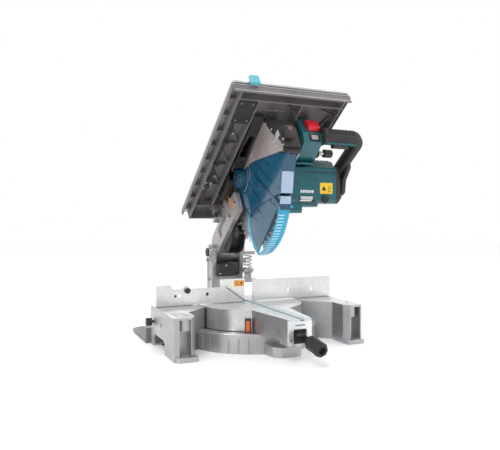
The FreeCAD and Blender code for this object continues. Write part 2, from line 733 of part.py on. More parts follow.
def gear_case():
    """Holds the spindle and the end of the armature, with the gears between them."""
    body = new_body("gear_case")
    start = size("case_half")
    end = size("motor_start")
    pad(body, "YZ_Plane", start, end, circle(SAW[0], SAW[1], 46))
    pad(body, "YZ_Plane", start, end, circle(MOTOR[0], MOTOR[1], 40))
    pad(body, "YZ_Plane", 12, start, circle(SAW[0], SAW[1], 25.5))
    pocket(body, "YZ_Plane", start + 6, end - 5, circle(SAW[0], SAW[1], 38))
    pocket(body, "YZ_Plane", start + 6, end - 5, circle(MOTOR[0], MOTOR[1], 16))
    pocket(body, "YZ_Plane", 11, end - 2, circle(SAW[0], SAW[1], 10))
    pocket(body, "YZ_Plane", start + 6, end + 1, circle(MOTOR[0], MOTOR[1], 6.05))


def spindle():
    """Blade spindle with its driven gear in one piece."""
    body = new_body("spindle", FreeCAD.Placement(Vector(0, SAW[0], SAW[1]), FreeCAD.Rotation()))
    pad(body, "YZ_Plane", 9, 61, circle(0, 0, 9.95))
    pad(body, "YZ_Plane", -1, 9, circle(0, 0, 8))
    teeth = gear_outline(size("gear_teeth"), size("gear_module"), 131)
    pad(body, "YZ_Plane", 40, 52, teeth)


def armature():
    """Motor shaft with pinion, fan, wound core and commutator."""
    body = new_body("armature", FreeCAD.Placement(Vector(0, MOTOR[0], MOTOR[1]), FreeCAD.Rotation()))
    half_tooth = 180 / size("pinion_teeth")
    pad(body, "YZ_Plane", 37, 230, circle(0, 0, 6))
    teeth = gear_outline(size("pinion_teeth"), size("gear_module"), 131 + 180 + half_tooth)
    pad(body, "YZ_Plane", 38, 54, teeth)
    pad(body, "YZ_Plane", 76, 80, circle(0, 0, 36))
    for turn in range(0, 360, 30):
        angle = math.radians(turn)
        across = Vector(math.cos(angle), math.sin(angle), 0)
        side = Vector(-across.y, across.x, 0)
        corners = [across * 14 - side, across * 35 - side, across * 35 + side, across * 14 + side]
        pad(body, "YZ_Plane", 80, 92, outline([(corner.x, corner.y) for corner in corners]))
    pad(body, "YZ_Plane", 110, 176, circle(0, 0, 25.5))
    pad(body, "YZ_Plane", 188, 206, circle(0, 0, 14))


def stator():
    body = new_body("stator")
    pad(body, "YZ_Plane", 106, 180, circle(MOTOR[0], MOTOR[1], 41))
    pocket(body, "YZ_Plane", 105, 181, circle(MOTOR[0], MOTOR[1], 27))


def motor_housing():
    body = new_body("motor_housing")
    start = "motor_start"
    face = [(-131, 402, 12), (-30, 402, 26), (-30, 509, 26), (-131, 509, 6)]
    pad(body, "YZ_Plane", start, "motor_end", outline(face))
    for foot, end in ((374, "motor_start + 46"), (392, "motor_start + 98")):
        lobe = [(-122, foot, 8), (-40, foot, 8), (-40, 410), (-122, 410)]
        pad(body, "YZ_Plane", start, end, outline(lobe))
    shoulder = [(-131, 495), (-101, 529, 12), (-64, 526, 16), (-34, 500), (-60, 480)]
    pad(body, "YZ_Plane", "neck_right + 0.4", "motor_end", outline(shoulder))
    pocket(body, "YZ_Plane", "motor_start + 4", "motor_end", circle(MOTOR[0], MOTOR[1], 41))
    pocket(body, "YZ_Plane", 60, "motor_start + 6", circle(MOTOR[0], MOTOR[1], 16))
    for place in range(140, 216, 11):
        pocket(body, "XY_Plane", 520, 531, box_outline(place, -98, place + 5, -66))


def motor_cap():
    body = new_body("motor_cap")
    face = [(-131, 402, 12), (-30, 402, 26), (-30, 509, 26), (-131, 509, 6)]
    pad(body, "YZ_Plane", "motor_end", "cap_end - 14", outline(face))
    for depth, end in ((5, "cap_end - 6"), (12, "cap_end")):
        inset = [(-131 + depth, 402 + depth, 14), (-30 - depth, 402 + depth, 20),
                 (-30 - depth, 509 - depth, 20), (-131 + depth, 509 - depth, 8)]
        pad(body, "YZ_Plane", "cap_end - 14", end, outline(inset))
    pocket(body, "YZ_Plane", "motor_end", "motor_end + 10", circle(MOTOR[0], MOTOR[1], 6.05))


def brush_caps():
    shapes = []
    for place, way in ((-131, -1), (-30, 1)):
        foot = Vector(183, place, 415 if way < 0 else 430)
        cap = Part.makeCylinder(10.5, 4, foot, Vector(0, way, 0))
        slot = Part.makeBox(14, 1.6, 1.6, foot + Vector(-7, way * 4 - 0.8, -0.8))
        shapes.append(cap.cut(slot))
    from_parts("brush_caps", shapes)


# The neck's front, in profile: a slope for the flap, an upright stretch, and a slope down to the motor.
NECK_TOP = (-165, 637)
NECK_BROW = (-209, 590)
NECK_CHIN = (-219, 564)
NECK_FOOT = (-170, 509)


def on_face(top, foot, down, out):
    """A point on one stretch of the neck's front, a distance down it and out from it."""
    long = math.hypot(foot[0] - top[0], foot[1] - top[1])
    slope = ((foot[0] - top[0]) / long, (foot[1] - top[1]) / long)
    return (top[0] + slope[0] * down + slope[1] * out, top[1] + slope[1] * down - slope[0] * out)


def face_box(top, foot, start, end, inside, outside):
    return outline([on_face(top, foot, start, outside), on_face(top, foot, end, outside),
                    on_face(top, foot, end, inside), on_face(top, foot, start, inside)])


def switch_box():
    """The neck between the motor and the handle, which holds the switches."""
    body = new_body("switch_box")
    neck = [NECK_TOP + (5,), (-122, 604, 8), (-84, 570, 8), (-64, 509), NECK_FOOT, NECK_CHIN + (6,),
            NECK_BROW + (4,)]
    pad(body, "YZ_Plane", "neck_left", "neck_right", outline(neck))
    hollow = [(-164, 628), (-125, 600), (-88, 567), (-70, 509), (-164, 509), (-212, 564), (-202, 590)]
    pocket(body, "YZ_Plane", "neck_left + 4", "neck_right - 4", outline(hollow))
    pocket(body, "YZ_Plane", 82, 114, face_box(NECK_BROW, NECK_CHIN, 4, 25, -8, 1))


def power_flap():
    """Red flap over the switch: pressed to stop, lifted to reach the buttons."""
    body = new_body("power_flap")
    place = [on_face(NECK_TOP, NECK_BROW, down, out) for down, out in
             ((20, 0.4), (20, 9), (32, 15), (56, 12), (58, 0.4))]
    pad(body, "YZ_Plane", 84, 118, outline([place[0], place[1], place[2] + (6,), place[3] + (4,), place[4]]))


def start_switch():
    body = new_body("start_switch")
    pad(body, "YZ_Plane", 84, 112, face_box(NECK_BROW, NECK_CHIN, 6, 23, -6, 3))


def d_handle():
    """Grip across the front, between the neck and a strut that comes up from the motor's end."""
    body = new_body("d_handle")
    grip = [(-236, 562, 14), (-200, 562, 14), (-200, 602, 14), (-236, 602, 14)]
    pad(body, "YZ_Plane", "neck_right + 8", 258, outline(grip))
    flange = [(-236, 560, 12), (-196, 556, 8), (-182, 566, 6), (-186, 598, 8), (-200, 606, 12), (-236, 606, 14)]
    pad(body, "YZ_Plane", "neck_right", "neck_right + 10", outline(flange))
    strut = [(-236, 574, 14), (-156, 506, 6), (-131, 509), (-84, 509), (-200, 602, 18), (-236, 602, 14)]
    pad(body, "YZ_Plane", 230, 258, outline(strut))
    cheek = [(-156, 506), (-131, 470, 12), (-126, 432, 16), (-96, 420, 16), (-62, 446, 20), (-60, 490, 20),
             (-84, 509), (-120, 538), (-156, 538)]
    pad(body, "YZ_Plane", "cap_end", 258, outline(cheek))
    pocket(body, "XY_Plane", 555, 583, box_outline(148, -227, 204, -207))


def trigger():
    body = new_body("trigger")
    pad(body, "YZ_Plane", 152, 200, outline([(-225, 550, 4), (-209, 550, 4), (-209, 574), (-225, 574)]))


def lift_knob():
    """Clamps the table's height: a bar and knob on the neck's right side."""
    corners = [(0.2, 0), (0.2, 9), (34, 7), (58, 7), (60, 12, 2), (84, 12, 2), (84, 0)]
    turned("lift_knob", corners, Vector(size("neck_right"), -130, 547), Vector(1, 0, 0))


# ---------------------------------------------------------------- blade and lower guard

def blade():
    """Saw blade with forty square-shouldered teeth."""
    body = new_body("blade", FreeCAD.Placement(Vector(0, SAW[0], SAW[1]), FreeCAD.Rotation()))
    tip = size("blade_radius")
    count = 40
    step = 360.0 / count
    corners = []
    for tooth in range(count):
        for share, radius in ((0.0, tip), (0.28, tip - 3), (0.55, tip - 9), (0.92, tip - 13), (0.97, tip - 9)):
            turn = math.radians((tooth + share) * step)
            corners.append((radius * math.cos(turn), radius * math.sin(turn)))
    pad(body, "YZ_Plane", "-blade_half", "blade_half", outline(corners), circle(0, 0, 8))


def flanges():
    """Two equal discs that clamp the blade."""
    shapes = []
    for low in (-9, 1):
        disc = Part.makeCylinder(34, 8, Vector(low, SAW[0], SAW[1]), Vector(1, 0, 0))
        shapes.append(disc.cut(Part.makeCylinder(8, 8, Vector(low, SAW[0], SAW[1]), Vector(1, 0, 0))))
    from_parts("flanges", shapes)


def arbor_bolt():
    middle = Vector(-9, SAW[0], SAW[1])
    stem = Part.makeCylinder(8, 8, middle, Vector(1, 0, 0))
    corners = [middle + Vector(0, 11 * math.cos(turn), 11 * math.sin(turn))
               for turn in [step * math.pi / 3 for step in range(7)]]
    head = Part.Face(Part.makePolygon(corners)).extrude(Vector(-7, 0, 0))
    from_parts("arbor_bolt", [stem.fuse(head).removeSplitter()])


def lower_guard():
    """Clear guard that closes over the blade's front and foot, and swings up into the case."""
    body = new_body("lower_guard")
    half = size("guard_half")
    skin = size("guard_skin")
    radius = size("guard_radius")
    saw_y, saw_z = SAW

    def at(distance, angle):
        turn = math.radians(angle)
        return (saw_y + distance * math.cos(turn), saw_z + distance * math.sin(turn))

    # The sketch's first axis points back, so the front of the blade is at 180 degrees.
    opening = 185
    closing = 257
    pad(body, "YZ_Plane", half - skin, half, sector(saw_y, saw_z, 30, radius, opening, closing))
    pad(body, "YZ_Plane", half - skin, half, circle(saw_y, saw_z, 38))
    left = [at(40, opening), at(radius - 1, opening), at(radius - 1, 194), at(162, 208), at(160, 229),
            at(radius - 4, closing - 1), at(160, 265) + (20,), at(134, 272) + (40,), at(96, 287) + (20,),
            at(50, 292) + (10,), at(30, 270)]
    pad(body, "YZ_Plane", -half, -half + skin, outline(left))
    pad(body, "YZ_Plane", -half, -half + skin, circle(saw_y, saw_z, 42))
    pad(body, "YZ_Plane", -half, half, sector(saw_y, saw_z, radius - 3, radius, opening, closing))
    pad(body, "YZ_Plane", -2, half, sector(saw_y, saw_z, radius - 3, radius, closing - 1, closing + 6))
    pad(body, "YZ_Plane", half - skin, half, sector(saw_y, saw_z, radius - 40, radius, closing - 1, closing + 6))
    pocket(body, "YZ_Plane", half - 3, half + 1, circle(saw_y, saw_z, 26))
    pocket(body, "YZ_Plane", -half - 1, -half + 3, circle(saw_y, saw_z, 28))


# ---------------------------------------------------------------- upper table

def table_top():
    """The small saw table, with an opening for the insert and two ears for the blade cover."""
    body = new_body("table_top", LEVEL)
    left = -size("table_left")
    right = size("table_right")
    front = -size("table_front")
    rear = size("table_rear")
    low = "table_top - table_thick"
    plan = [(left, front, 10), (right, front, 10), (right, rear, 10), (left, rear, 10)]
    pad(body, "XY_Plane", low, "table_top", outline(plan))
    pocket(body, "XY_Plane", "table_top - table_thick - 1", "table_top + 1", box_outline(-30, -330, 34, 52, 6))
    for place in (-118, 128):
        pocket(body, "XY_Plane", "table_top - 3", "table_top + 1", box_outline(place, front - 1, place + 14, rear + 1))
    for near in (-25, 20):
        ear = [(58, 365), (58, 400, 8), (72, 416, 8), (86, 400, 8), (86, 365)]
        pad(body, "YZ_Plane", near, near + 5, outline(ear))
        pocket(body, "YZ_Plane", near - 1, near + 6, circle(72, 402, 4))


def table_insert():
    body = new_body("table_insert", LEVEL)
    pad(body, "XY_Plane", "table_top - table_thick", "table_top", box_outline(-30, -330, 34, 52, 6))
    pocket(body, "XY_Plane", "table_top - table_thick - 1", "table_top + 1", box_outline(-4, -292, 4, 43))


def table_frame():
    """Skirts, ribs and guide sleeves under the table."""
    body = new_body("table_frame", LEVEL)
    top = "table_top - table_thick"
    low = "table_top - table_thick - rib_deep"
    lip = "table_top - table_thick - 14"
    left = -size("table_left")
    right = size("table_right")
    front = -size("table_front") + 3
    rear = size("table_rear") - 3
    thick = size("rib_thick")
    inner_left = left + 20
    inner_right = right - 20

    def rib(x_low, y_low, x_high, y_high, foot=low):
        pad(body, "XY_Plane", foot, top, box_outline(x_low, y_low, x_high, y_high))

    def slanted(start, end):
        across = Vector(end[0] - start[0], end[1] - start[1], 0).normalize()
        side = Vector(-across.y, across.x, 0) * (thick / 2)
        first = Vector(start[0], start[1], 0)
        last = Vector(end[0], end[1], 0)
        corners = [first - side, last - side, last + side, first + side]
        pad(body, "XY_Plane", low + " + 18", top, outline([(corner.x, corner.y) for corner in corners]))

    rib(inner_left, front, inner_left + thick, rear)
    rib(inner_right - thick, front, inner_right, rear)
    rib(left + 2, front, right - 2, front + thick)
    rib(inner_left, rear - thick, inner_right, rear)
    rib(inner_left, front + 26, inner_right, front + 30)
    for edge in (left, right - 3):
        rib(edge, front, edge + 3, rear, lip)
    for step in range(9):
        place = front + 40 + step * 58
        rib(left + 1, place, inner_left + 1, place + 3, lip)
        rib(inner_right - 1, place, right - 1, place + 3, lip)
    for place in (-300, -210, -120, -30):
        rib(inner_left + 1, place, -66, place + 3, low + " + 14")
    for place in (-200, -110, -20):
        rib(70, place, inner_right - 1, place + 3)
    rib(inner_left + 1, 60, inner_right - 1, 63)
    rib(-70, front + 28, -66, 62)
    rib(57, front + 28, 61, -197)
    rib(60, -200, 72, -197)
    rib(70, -199, 74, 62)
    for low_y in (-298, -208, -118):
        slanted((inner_left + 3, low_y), (-68, low_y + 90))
    slanted((inner_right - 3, -340), (126, -199))
    slanted((59, front + 29), (inner_right - 3, -340))
    for side in SIDES:
        middle = side * size("post_x")
        pad(body, "XY_Plane", low + " - 15", top, circle(middle, size("post_y") + 1, 13.8))
        rib(min(middle, side * 71), 72, max(middle, side * 71), 80)
    for side in SIDES:
        pocket(body, "XY_Plane", low + " - 16", top, circle(side * size("post_x"), size("post_y") + 1, 9.05))


def cable_cover():
    """Black cover under the table's front left corner, with two screw recesses."""
    body = new_body("cable_cover", LEVEL)
    plan = [(-122.5, -380, 3), (-74, -380, 3), (-74, -304), (-122.5, -304)]
    pad(body, "XY_Plane", 329, 333, outline(plan))
    pad(body, "XY_Plane", 332, 360.8, box_outline(-122.5, -379, -119, -305))
    for place in (-114, -82):
        pocket(body, "XY_Plane", 328, 331, circle(place, -370, 4))


def tube(label, route, radius):
    """A cable: straight runs joined by tangent arcs, as large as each pair of runs allows."""
    points = [Vector(*point) for point in route]
    edges = []
    start = points[0]
    for index in range(1, len(points) - 1):
        corner = points[index]
        back = points[index - 1] - corner
        forth = points[index + 1] - corner
        reach = 0.45 * min(back.Length, forth.Length)
        half = back.getAngle(forth) / 2
        bend = reach * math.tan(half)
        back.normalize()
        forth.normalize()
        first = corner + back * reach
        last = corner + forth * reach
        centre = corner + (back + forth).normalize() * (bend / math.sin(half))
        middle = centre + (corner - centre).normalize() * bend
        edges.append(Part.LineSegment(start, first).toShape())
        edges.append(Part.Arc(first, middle, last).toShape())
        print(label, "bend radius", round(bend, 1))
        start = last
    edges.append(Part.LineSegment(start, points[-1]).toShape())
    path = Part.Wire(edges)
    section = Part.Wire([Part.Circle(points[0], points[1] - points[0], radius).toShape()])
    solid = path.makePipeShell([section], True, True)
    print(label, "length", round(path.Length, 1), "volume ratio",
          round(solid.Volume / (math.pi * radius ** 2 * path.Length), 4))
    node = from_parts(label, [solid])
    node.Placement = LEVEL


def underside_cable():
    route = [(-112, -303.8, 337.2), (-110, -256, 336.6), (-112, -206, 337.2), (-114, -156, 336.4),
             (-113, -106, 337.3), (-110, -56, 336.5), (-112, -12, 337.2), (-108, 22, 337), (-94, 40, 340),
             (-76, 38, 347)]
    tube("underside_cable", route, 3)


def switch_cable():
    """From the table's underside to the switch box's left side."""
    route = [(28, -372, 360.8), (28.4, -371, 349), (30.5, -365, 338), (35, -352, 328.5), (41, -334, 321),
             (48, -316, 317), (63.3, -312, 316)]
    tube("switch_cable", route, 2.5)


def rip_fence():
    """Bar across the table's top with a clamp that hooks over the front edge."""
    body = new_body("rip_fence", LEVEL)
    front = -size("table_front")
    pad(body, "XY_Plane", "table_top + free_gap", "table_top + 15", box_outline(-92, front - 8, -80, 120))
    pad(body, "XY_Plane", "table_top - 14", "table_top + 13", box_outline(-100, front - 12, -74, front - 0.6, 3))


def top_cover():
    """Clear cover over the blade above the table, hinged at the back."""
    body = new_body("top_cover", LEVEL)
    side = [(-288, 368.6), (-284, 412, 20), (-240, 430, 20), (30, 430, 20), (80, 412, 8), (80, 394, 8), (50, 384),
            (46, 368.6)]
    pad(body, "YZ_Plane", -18, 18, outline(side))
    inside = [(-285, 360), (-282, 410, 18), (-240, 427.5, 18), (30, 427.5, 18), (44, 400, 6), (43, 360)]
    pocket(body, "YZ_Plane", -16, 16, outline(inside))
    pad(body, "YZ_Plane", -25, 25, circle(72, 402, 3.95))


# ---------------------------------------------------------------- build, check and export

casting = base_casting()
base_grooves(casting)
for make in (rear_feet, mitre_scale, turntable_bolt, holder_knobs, fence_right, fence_left, fence_bolts,
             sub_fence, sub_fence_pivot, turntable, kerf_boards, mitre_pointer, hinge_pin, mitre_grip,
             mitre_lock_lever, bevel_bracket, bevel_scale, stop_box, stop_bolts, pivot_shaft, spring_seat,
             return_spring, bevel_lever, stop_pin, head_arm, blade_case, upper_cover, clear_guard,
             guard_hub, nose_cover, laser_unit, chip_chute, lift_posts, riving_knife, gear_case, spindle,
             armature, stator, motor_housing, motor_cap, brush_caps, switch_box, power_flap, start_switch,
             d_handle, trigger, lift_knob, blade, flanges, arbor_bolt, lower_guard, table_top,
             table_insert, table_frame, cable_cover, underside_cable, switch_cable, rip_fence, top_cover):
    make()
DOC.recompute()

nodes = [item for item in DOC.Objects if item.TypeId in ("PartDesign::Body", "Part::Feature")]
faults = []
for item in DOC.Objects:
    if "Invalid" in item.State or "Error" in item.State:
        faults.append("%s is in state %s" % (item.Label, item.State))
for node in nodes:
    if node.Shape.isNull() or not node.Shape.isValid() or not node.Shape.Solids:
        faults.append("%s has no valid solid" % node.Label)
for item in DOC.Objects:
    if item.TypeId == "PartDesign::Pocket" and item.Shape.Volume >= item.BaseFeature.Shape.Volume - 0.01:
        faults.append("%s in %s removes nothing" % (item.Label, item.getParentGeoFeatureGroup().Label))
if faults:
    raise SystemExit("\n".join(faults))
os.makedirs("parts", exist_ok=True)
for node in nodes:
    node.Shape.exportStep("parts/%s.step" % node.Label)
    print(node.Label, len(node.Shape.Solids), round(node.Shape.Volume / 1000, 1))
print(len(nodes), "nodes")
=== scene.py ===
import json
import math

import bmesh
import bpy
from mathutils import Matrix, Vector


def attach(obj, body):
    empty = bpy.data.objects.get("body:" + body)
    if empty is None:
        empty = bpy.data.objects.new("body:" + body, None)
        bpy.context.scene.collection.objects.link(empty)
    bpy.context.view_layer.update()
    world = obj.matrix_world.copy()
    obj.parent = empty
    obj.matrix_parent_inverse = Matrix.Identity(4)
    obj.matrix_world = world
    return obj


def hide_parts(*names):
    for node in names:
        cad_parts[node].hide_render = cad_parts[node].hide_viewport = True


# Table-top mitre saw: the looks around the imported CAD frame.  Metres, in the CAD model's own frame.

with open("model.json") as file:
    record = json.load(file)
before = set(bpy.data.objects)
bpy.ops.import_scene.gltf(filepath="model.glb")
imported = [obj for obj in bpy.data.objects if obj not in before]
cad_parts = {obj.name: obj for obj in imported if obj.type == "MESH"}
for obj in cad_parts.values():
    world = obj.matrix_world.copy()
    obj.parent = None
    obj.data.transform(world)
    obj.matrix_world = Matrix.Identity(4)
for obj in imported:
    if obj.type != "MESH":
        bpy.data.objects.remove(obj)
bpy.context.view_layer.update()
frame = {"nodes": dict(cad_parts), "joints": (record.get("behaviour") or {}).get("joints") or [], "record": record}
NODES = frame["nodes"]
BODY_OF = {node: body for body, members in frame["record"]["behaviour"]["bodies"].items() for node in members}

# The head is drawn raised.  Places on it are easier to give as they lie once it is level.
JOINTS = {joint["name"]: joint for joint in frame["joints"]}
PIVOT = Vector(JOINTS["chop"]["pos_m"])
TILT = math.radians(JOINTS["chop"]["range_deg"][1])
RAISE = Matrix.Translation(PIVOT) @ Matrix.Rotation(-TILT, 4, "X") @ Matrix.Translation(-PIVOT)
SAW = Vector(JOINTS["blade_spin"]["pos_m"])
SAW_MM = SAW * 1000
AXLE = tuple(SAW_MM.yz)
MM = 0.001

# Places that several pieces share, in millimetres.
TURN_TOP = 110.0
CASTING_SIDE = 285
PIVOT_PLACE = (200, 248)
GUARD_HUB = (-5, 477)
GRIP_PLACE = (16, -300, 62)
GRIP_AXIS = (0, -0.985, -0.174)
LIFT_KNOB = (120, -130, 547)
CABLE_EXIT = (28, -372, 361)
BOSSES = ((-96, -250), (-96, -70), (150, -250), (150, -60), (100, 30))
MOTOR_FACE = -131


# ---- camera, light and floor

def show(item):
    bpy.context.scene.collection.objects.link(item)
    return item


def camera():
    data = bpy.data.cameras.new("camera")
    data.lens = 39.3
    data.sensor_width = 36
    item = show(bpy.data.objects.new("camera", data))
    item.location = (-0.6597, -1.4920, 0.3580)
    item.rotation_euler = (math.radians(90 - 0.66), 0, math.radians(-23.94))
    bpy.context.scene.camera = item


def area_light(name, place, aim, size, power):
    data = bpy.data.lights.new(name, "AREA")
    data.shape = "RECTANGLE"
    data.size = size[0]
    data.size_y = size[1]
    data.energy = power
    item = show(bpy.data.objects.new(name, data))
    item.location = place
    item.rotation_euler = (Vector(aim) - Vector(place)).to_track_quat("-Z", "Y").to_euler()


def studio():
    bpy.context.scene.view_settings.view_transform = "Standard"
    sky = Nodes(bpy.data.worlds.new("studio"), "Background")
    bpy.context.scene.world = sky.owner
    across = sky.add("ShaderNodeVectorMath", operation="DOT_PRODUCT")
    across.inputs[1].default_value = (0.33, 0.74, 0.58)
    sky.link(sky.coordinates["Generated"], across.inputs[0])
    sky.set(Color=(1.0, 1.0, 1.0), Strength=sky.spread(across.outputs["Value"], -0.85, 0.45, 0.36, 1.0))
    for light in (("key", (-1.5, -1.7, 2.4), (0, 0, 0.3), (1.2, 1.2), 34),
                  ("front_left", (-2.2, -1.2, 0.7), (0, 0, 0.35), (0.4, 1.2), 8),
                  ("right", (2.0, -1.3, 1.2), (0.1, 0, 0.35), (0.7, 1.2), 11),
                  ("back", (0.6, 2.2, 1.9), (0, 0, 0.4), (1.6, 1.0), 16)):
        area_light(*light)
    data = bpy.data.meshes.new("floor")
    reach = 6.0
    data.from_pydata([(-reach, -reach, 0), (reach, -reach, 0), (reach, reach, 0), (-reach, reach, 0)], [],
                     [(0, 1, 2, 3)])
    floor = show(bpy.data.objects.new("floor", data))
    floor.location.z = -0.0005
    floor.data.materials.append(FLOOR)


# ---- materials

class Nodes:
    """A material, or a world, under construction: adds shader nodes and links them in few words."""

    def __init__(self, owner, shader="Principled BSDF"):
        owner.use_nodes = True
        self.owner = owner
        self.tree = owner.node_tree
        self.shader = self.tree.nodes[shader]
        self.coordinates = self.add("ShaderNodeTexCoord").outputs
        self.place = self.coordinates["Object"]

    def add(self, kind, **settings):
        node = self.tree.nodes.new(kind)
        for name, value in settings.items():
            setattr(node, name, value)
        return node

    def link(self, source, target):
        self.tree.links.new(source, target)

    def feed(self, value, socket):
        """Gives a socket a link, a colour or a number."""
        if isinstance(value, bpy.types.NodeSocket):
            self.link(value, socket)
        else:
            socket.default_value = value + (1.0,) if socket.type == "RGBA" else value

    def fed(self, kind, output, **values):
        """One output of a new node whose inputs are fed by name."""
        node = self.add(kind)
        for name, value in values.items():
            self.feed(value, node.inputs[name.replace("_", " ")])
        return node.outputs[output]

    def stretched(self, scale):
        return self.fed("ShaderNodeMapping", "Vector", Vector=self.place, Scale=scale)

    def noise(self, scale, detail=4, rough=0.6, where=None):
        return self.fed("ShaderNodeTexNoise", "Fac", Vector=where or self.place, Scale=scale, Detail=detail,
                        Roughness=rough)

    def cells(self, scale):
        return self.fed("ShaderNodeTexVoronoi", "Distance", Vector=self.place, Scale=scale)

    def spread(self, value, low, high, to_low=0.0, to_high=1.0):
        return self.fed("ShaderNodeMapRange", "Result", Value=value, From_Min=low, From_Max=high, To_Min=to_low,
                        To_Max=to_high)

    def mix(self, share, first, second):
        node = self.add("ShaderNodeMix", data_type="RGBA")
        for value, name in ((share, "Factor"), (first, "A"), (second, "B")):
            self.feed(value, node.inputs[name])
        return node.outputs["Result"]

    def maths(self, operation, first, second):
        node = self.add("ShaderNodeMath", operation=operation)
        self.feed(first, node.inputs[0])
        self.feed(second, node.inputs[1])
        return node.outputs["Value"]

    def bump(self, height, strength, distance):
        return self.fed("ShaderNodeBump", "Normal", Height=height, Strength=strength, Distance=distance)

    def edges(self, radius):
        """1 along sharp outer and inner edges, 0 on open surface."""
        rounded = self.add("ShaderNodeBevel", samples=4)
        rounded.inputs["Radius"].default_value = radius
        plain = self.add("ShaderNodeNewGeometry")
        dot = self.add("ShaderNodeVectorMath", operation="DOT_PRODUCT")
        self.link(rounded.outputs["Normal"], dot.inputs[0])
        self.link(plain.outputs["Normal"], dot.inputs[1])
        return self.spread(dot.outputs["Value"], 0.995, 0.80)

    def set(self, **values):
        for name, value in values.items():
            self.feed(value, self.shader.inputs[name.replace("_", " ")])
        return self.owner


def toned(colour, times, plus=0.0):
    return tuple(min(1.0, channel * times + plus) for channel in colour)


def cast_metal(name, dark, light, grain=900, rough=(0.38, 0.58), depth=0.00018, metallic=0.85, streak=None,
               top=None):
    """Cast and machined light metal: fine grain, cloudy colour, brighter worn edges.
    Faces that look straight up take the top colour: partly the machined finish there, partly a painted highlight where
    the light falls on the tops."""
    m = Nodes(bpy.data.materials.new(name))
    clouds = m.spread(m.noise(9, 6), 0.3, 0.7)
    colour = m.mix(clouds, dark, light)
    worn = m.maths("MULTIPLY", m.edges(0.0012), m.spread(m.noise(60, 3), 0.3, 0.6))
    colour = m.mix(worn, colour, toned(light, 1.22, 0.04))
    # Up-facing faces take the top colour: machined finish, with a painted highlight in it.
    if top:
        split = m.add("ShaderNodeSeparateXYZ")
        m.link(m.add("ShaderNodeNewGeometry").outputs["Normal"], split.inputs[0])
        colour = m.mix(m.spread(split.outputs["Z"], 0.96, 0.995), colour, top)
    where = m.stretched(streak) if streak else None
    fine = m.noise(grain, 3, where=where)
    return m.set(Base_Color=colour, Metallic=metallic,
                 Roughness=m.spread(m.noise(45, 5, where=where), 0.3, 0.7, rough[0], rough[1]),
                 Normal=m.bump(fine, 0.35, depth))


def moulded(name, colour, rough=(0.32, 0.45), grain=1400, depth=0.00006, variation=0.12, coat=0.0, wear=0.25):
    """Moulded plastic: even colour, a fine spark-eroded texture, edges polished by handling."""
    m = Nodes(bpy.data.materials.new(name))
    base = m.mix(m.spread(m.noise(14, 5), 0.35, 0.65), toned(colour, 1 - variation),
                 toned(colour, 1 + variation, 0.004))
    base = m.mix(m.maths("MULTIPLY", m.edges(0.0008), wear), base, toned(colour, 1.5, 0.03))
    return m.set(Base_Color=base, Roughness=m.spread(m.noise(30, 4), 0.3, 0.7, rough[0], rough[1]),
                 Coat_Weight=coat, Coat_Roughness=0.18, Normal=m.bump(m.cells(grain), 0.3, depth))


def clear_plastic(name, colour, density=0.5, rough=0.06):
    """Tinted clear sheet: part see-through, with light scratches."""
    m = Nodes(bpy.data.materials.new(name))
    scratches = m.noise(22, 8, 0.75, where=m.stretched((6.0, 1.0, 1.0)))
    tone = m.mix(m.spread(m.noise(7, 3), 0.3, 0.7), toned(colour, 0.8), colour)
    tone = m.mix(m.maths("MULTIPLY", m.edges(0.0012), 0.35), tone, toned(colour, 1.4, 0.1))
    m.owner.blend_method = "BLEND"
    return m.set(Base_Color=tone, Alpha=density, Coat_Weight=0.4, Coat_Roughness=0.05,
                 Roughness=m.spread(scratches, 0.35, 0.75, rough, rough + 0.14))


def printed(name, colour):
    return moulded(name, colour, rough=(0.3, 0.4), depth=0.00001)


def floor_material():
    m = Nodes(bpy.data.materials.new("floor_paper"))
    tone = m.mix(m.spread(m.noise(3, 4), 0.3, 0.7), (0.955, 0.955, 0.955), (0.975, 0.975, 0.975))
    return m.set(Base_Color=tone, Roughness=0.8, Emission_Color=(1.0, 1.0, 1.0), Emission_Strength=0.10)


FLOOR = floor_material()
# The top colours of the cast and turntable metal are partly machined finish, partly a painted highlight on up-facing
# faces.
CAST = cast_metal("cast_aluminium", (0.40, 0.40, 0.41), (0.52, 0.52, 0.53), rough=(0.34, 0.50), metallic=0.9,
                  depth=0.00008, top=(0.74, 0.74, 0.75))
TURNTABLE = cast_metal("turntable_aluminium", (0.46, 0.46, 0.47), (0.58, 0.58, 0.59), rough=(0.26, 0.38),
                       metallic=0.92, depth=0.00003, top=(0.90, 0.90, 0.90))
MACHINED = cast_metal("machined_aluminium", (0.66, 0.66, 0.67), (0.80, 0.80, 0.81), grain=500,
                      rough=(0.24, 0.31), streak=(1, 12, 12), depth=0.00001)
# The upper table's aluminium castings, much darker than the metal elsewhere: painted shade for parts that lie under the
# table.
TABLE_SHADED = cast_metal("table_casting_shaded", (0.17, 0.155, 0.165), (0.25, 0.23, 0.24), rough=(0.42, 0.6), metallic=0.45)
TABLE_FACE = cast_metal("table_machined", (0.50, 0.50, 0.51), (0.60, 0.60, 0.61), grain=400,
                        rough=(0.22, 0.36), streak=(40, 1, 1), depth=0.00008)
ARM_GREY = cast_metal("arm_enamel", (0.34, 0.32, 0.32), (0.48, 0.455, 0.45), rough=(0.35, 0.5), metallic=0.6,
                      depth=0.00006)
FOOT_GREY = cast_metal("foot_casting", (0.17, 0.17, 0.175), (0.25, 0.25, 0.255), rough=(0.4, 0.55), metallic=0.6,
                       depth=0.00008)
CASE_GREY = cast_metal("case_enamel", (0.38, 0.33, 0.325), (0.55, 0.49, 0.48), rough=(0.36, 0.5), metallic=0.5,
                       depth=0.00006)
STEEL = cast_metal("bright_steel", (0.50, 0.51, 0.52), (0.66, 0.67, 0.68), grain=700, rough=(0.16, 0.30),
                   metallic=1.0, streak=(30, 1, 1), depth=0.00004)
ZINC = cast_metal("zinc_steel", (0.46, 0.46, 0.44), (0.62, 0.62, 0.58), rough=(0.25, 0.42), metallic=1.0,
                  depth=0.00005)
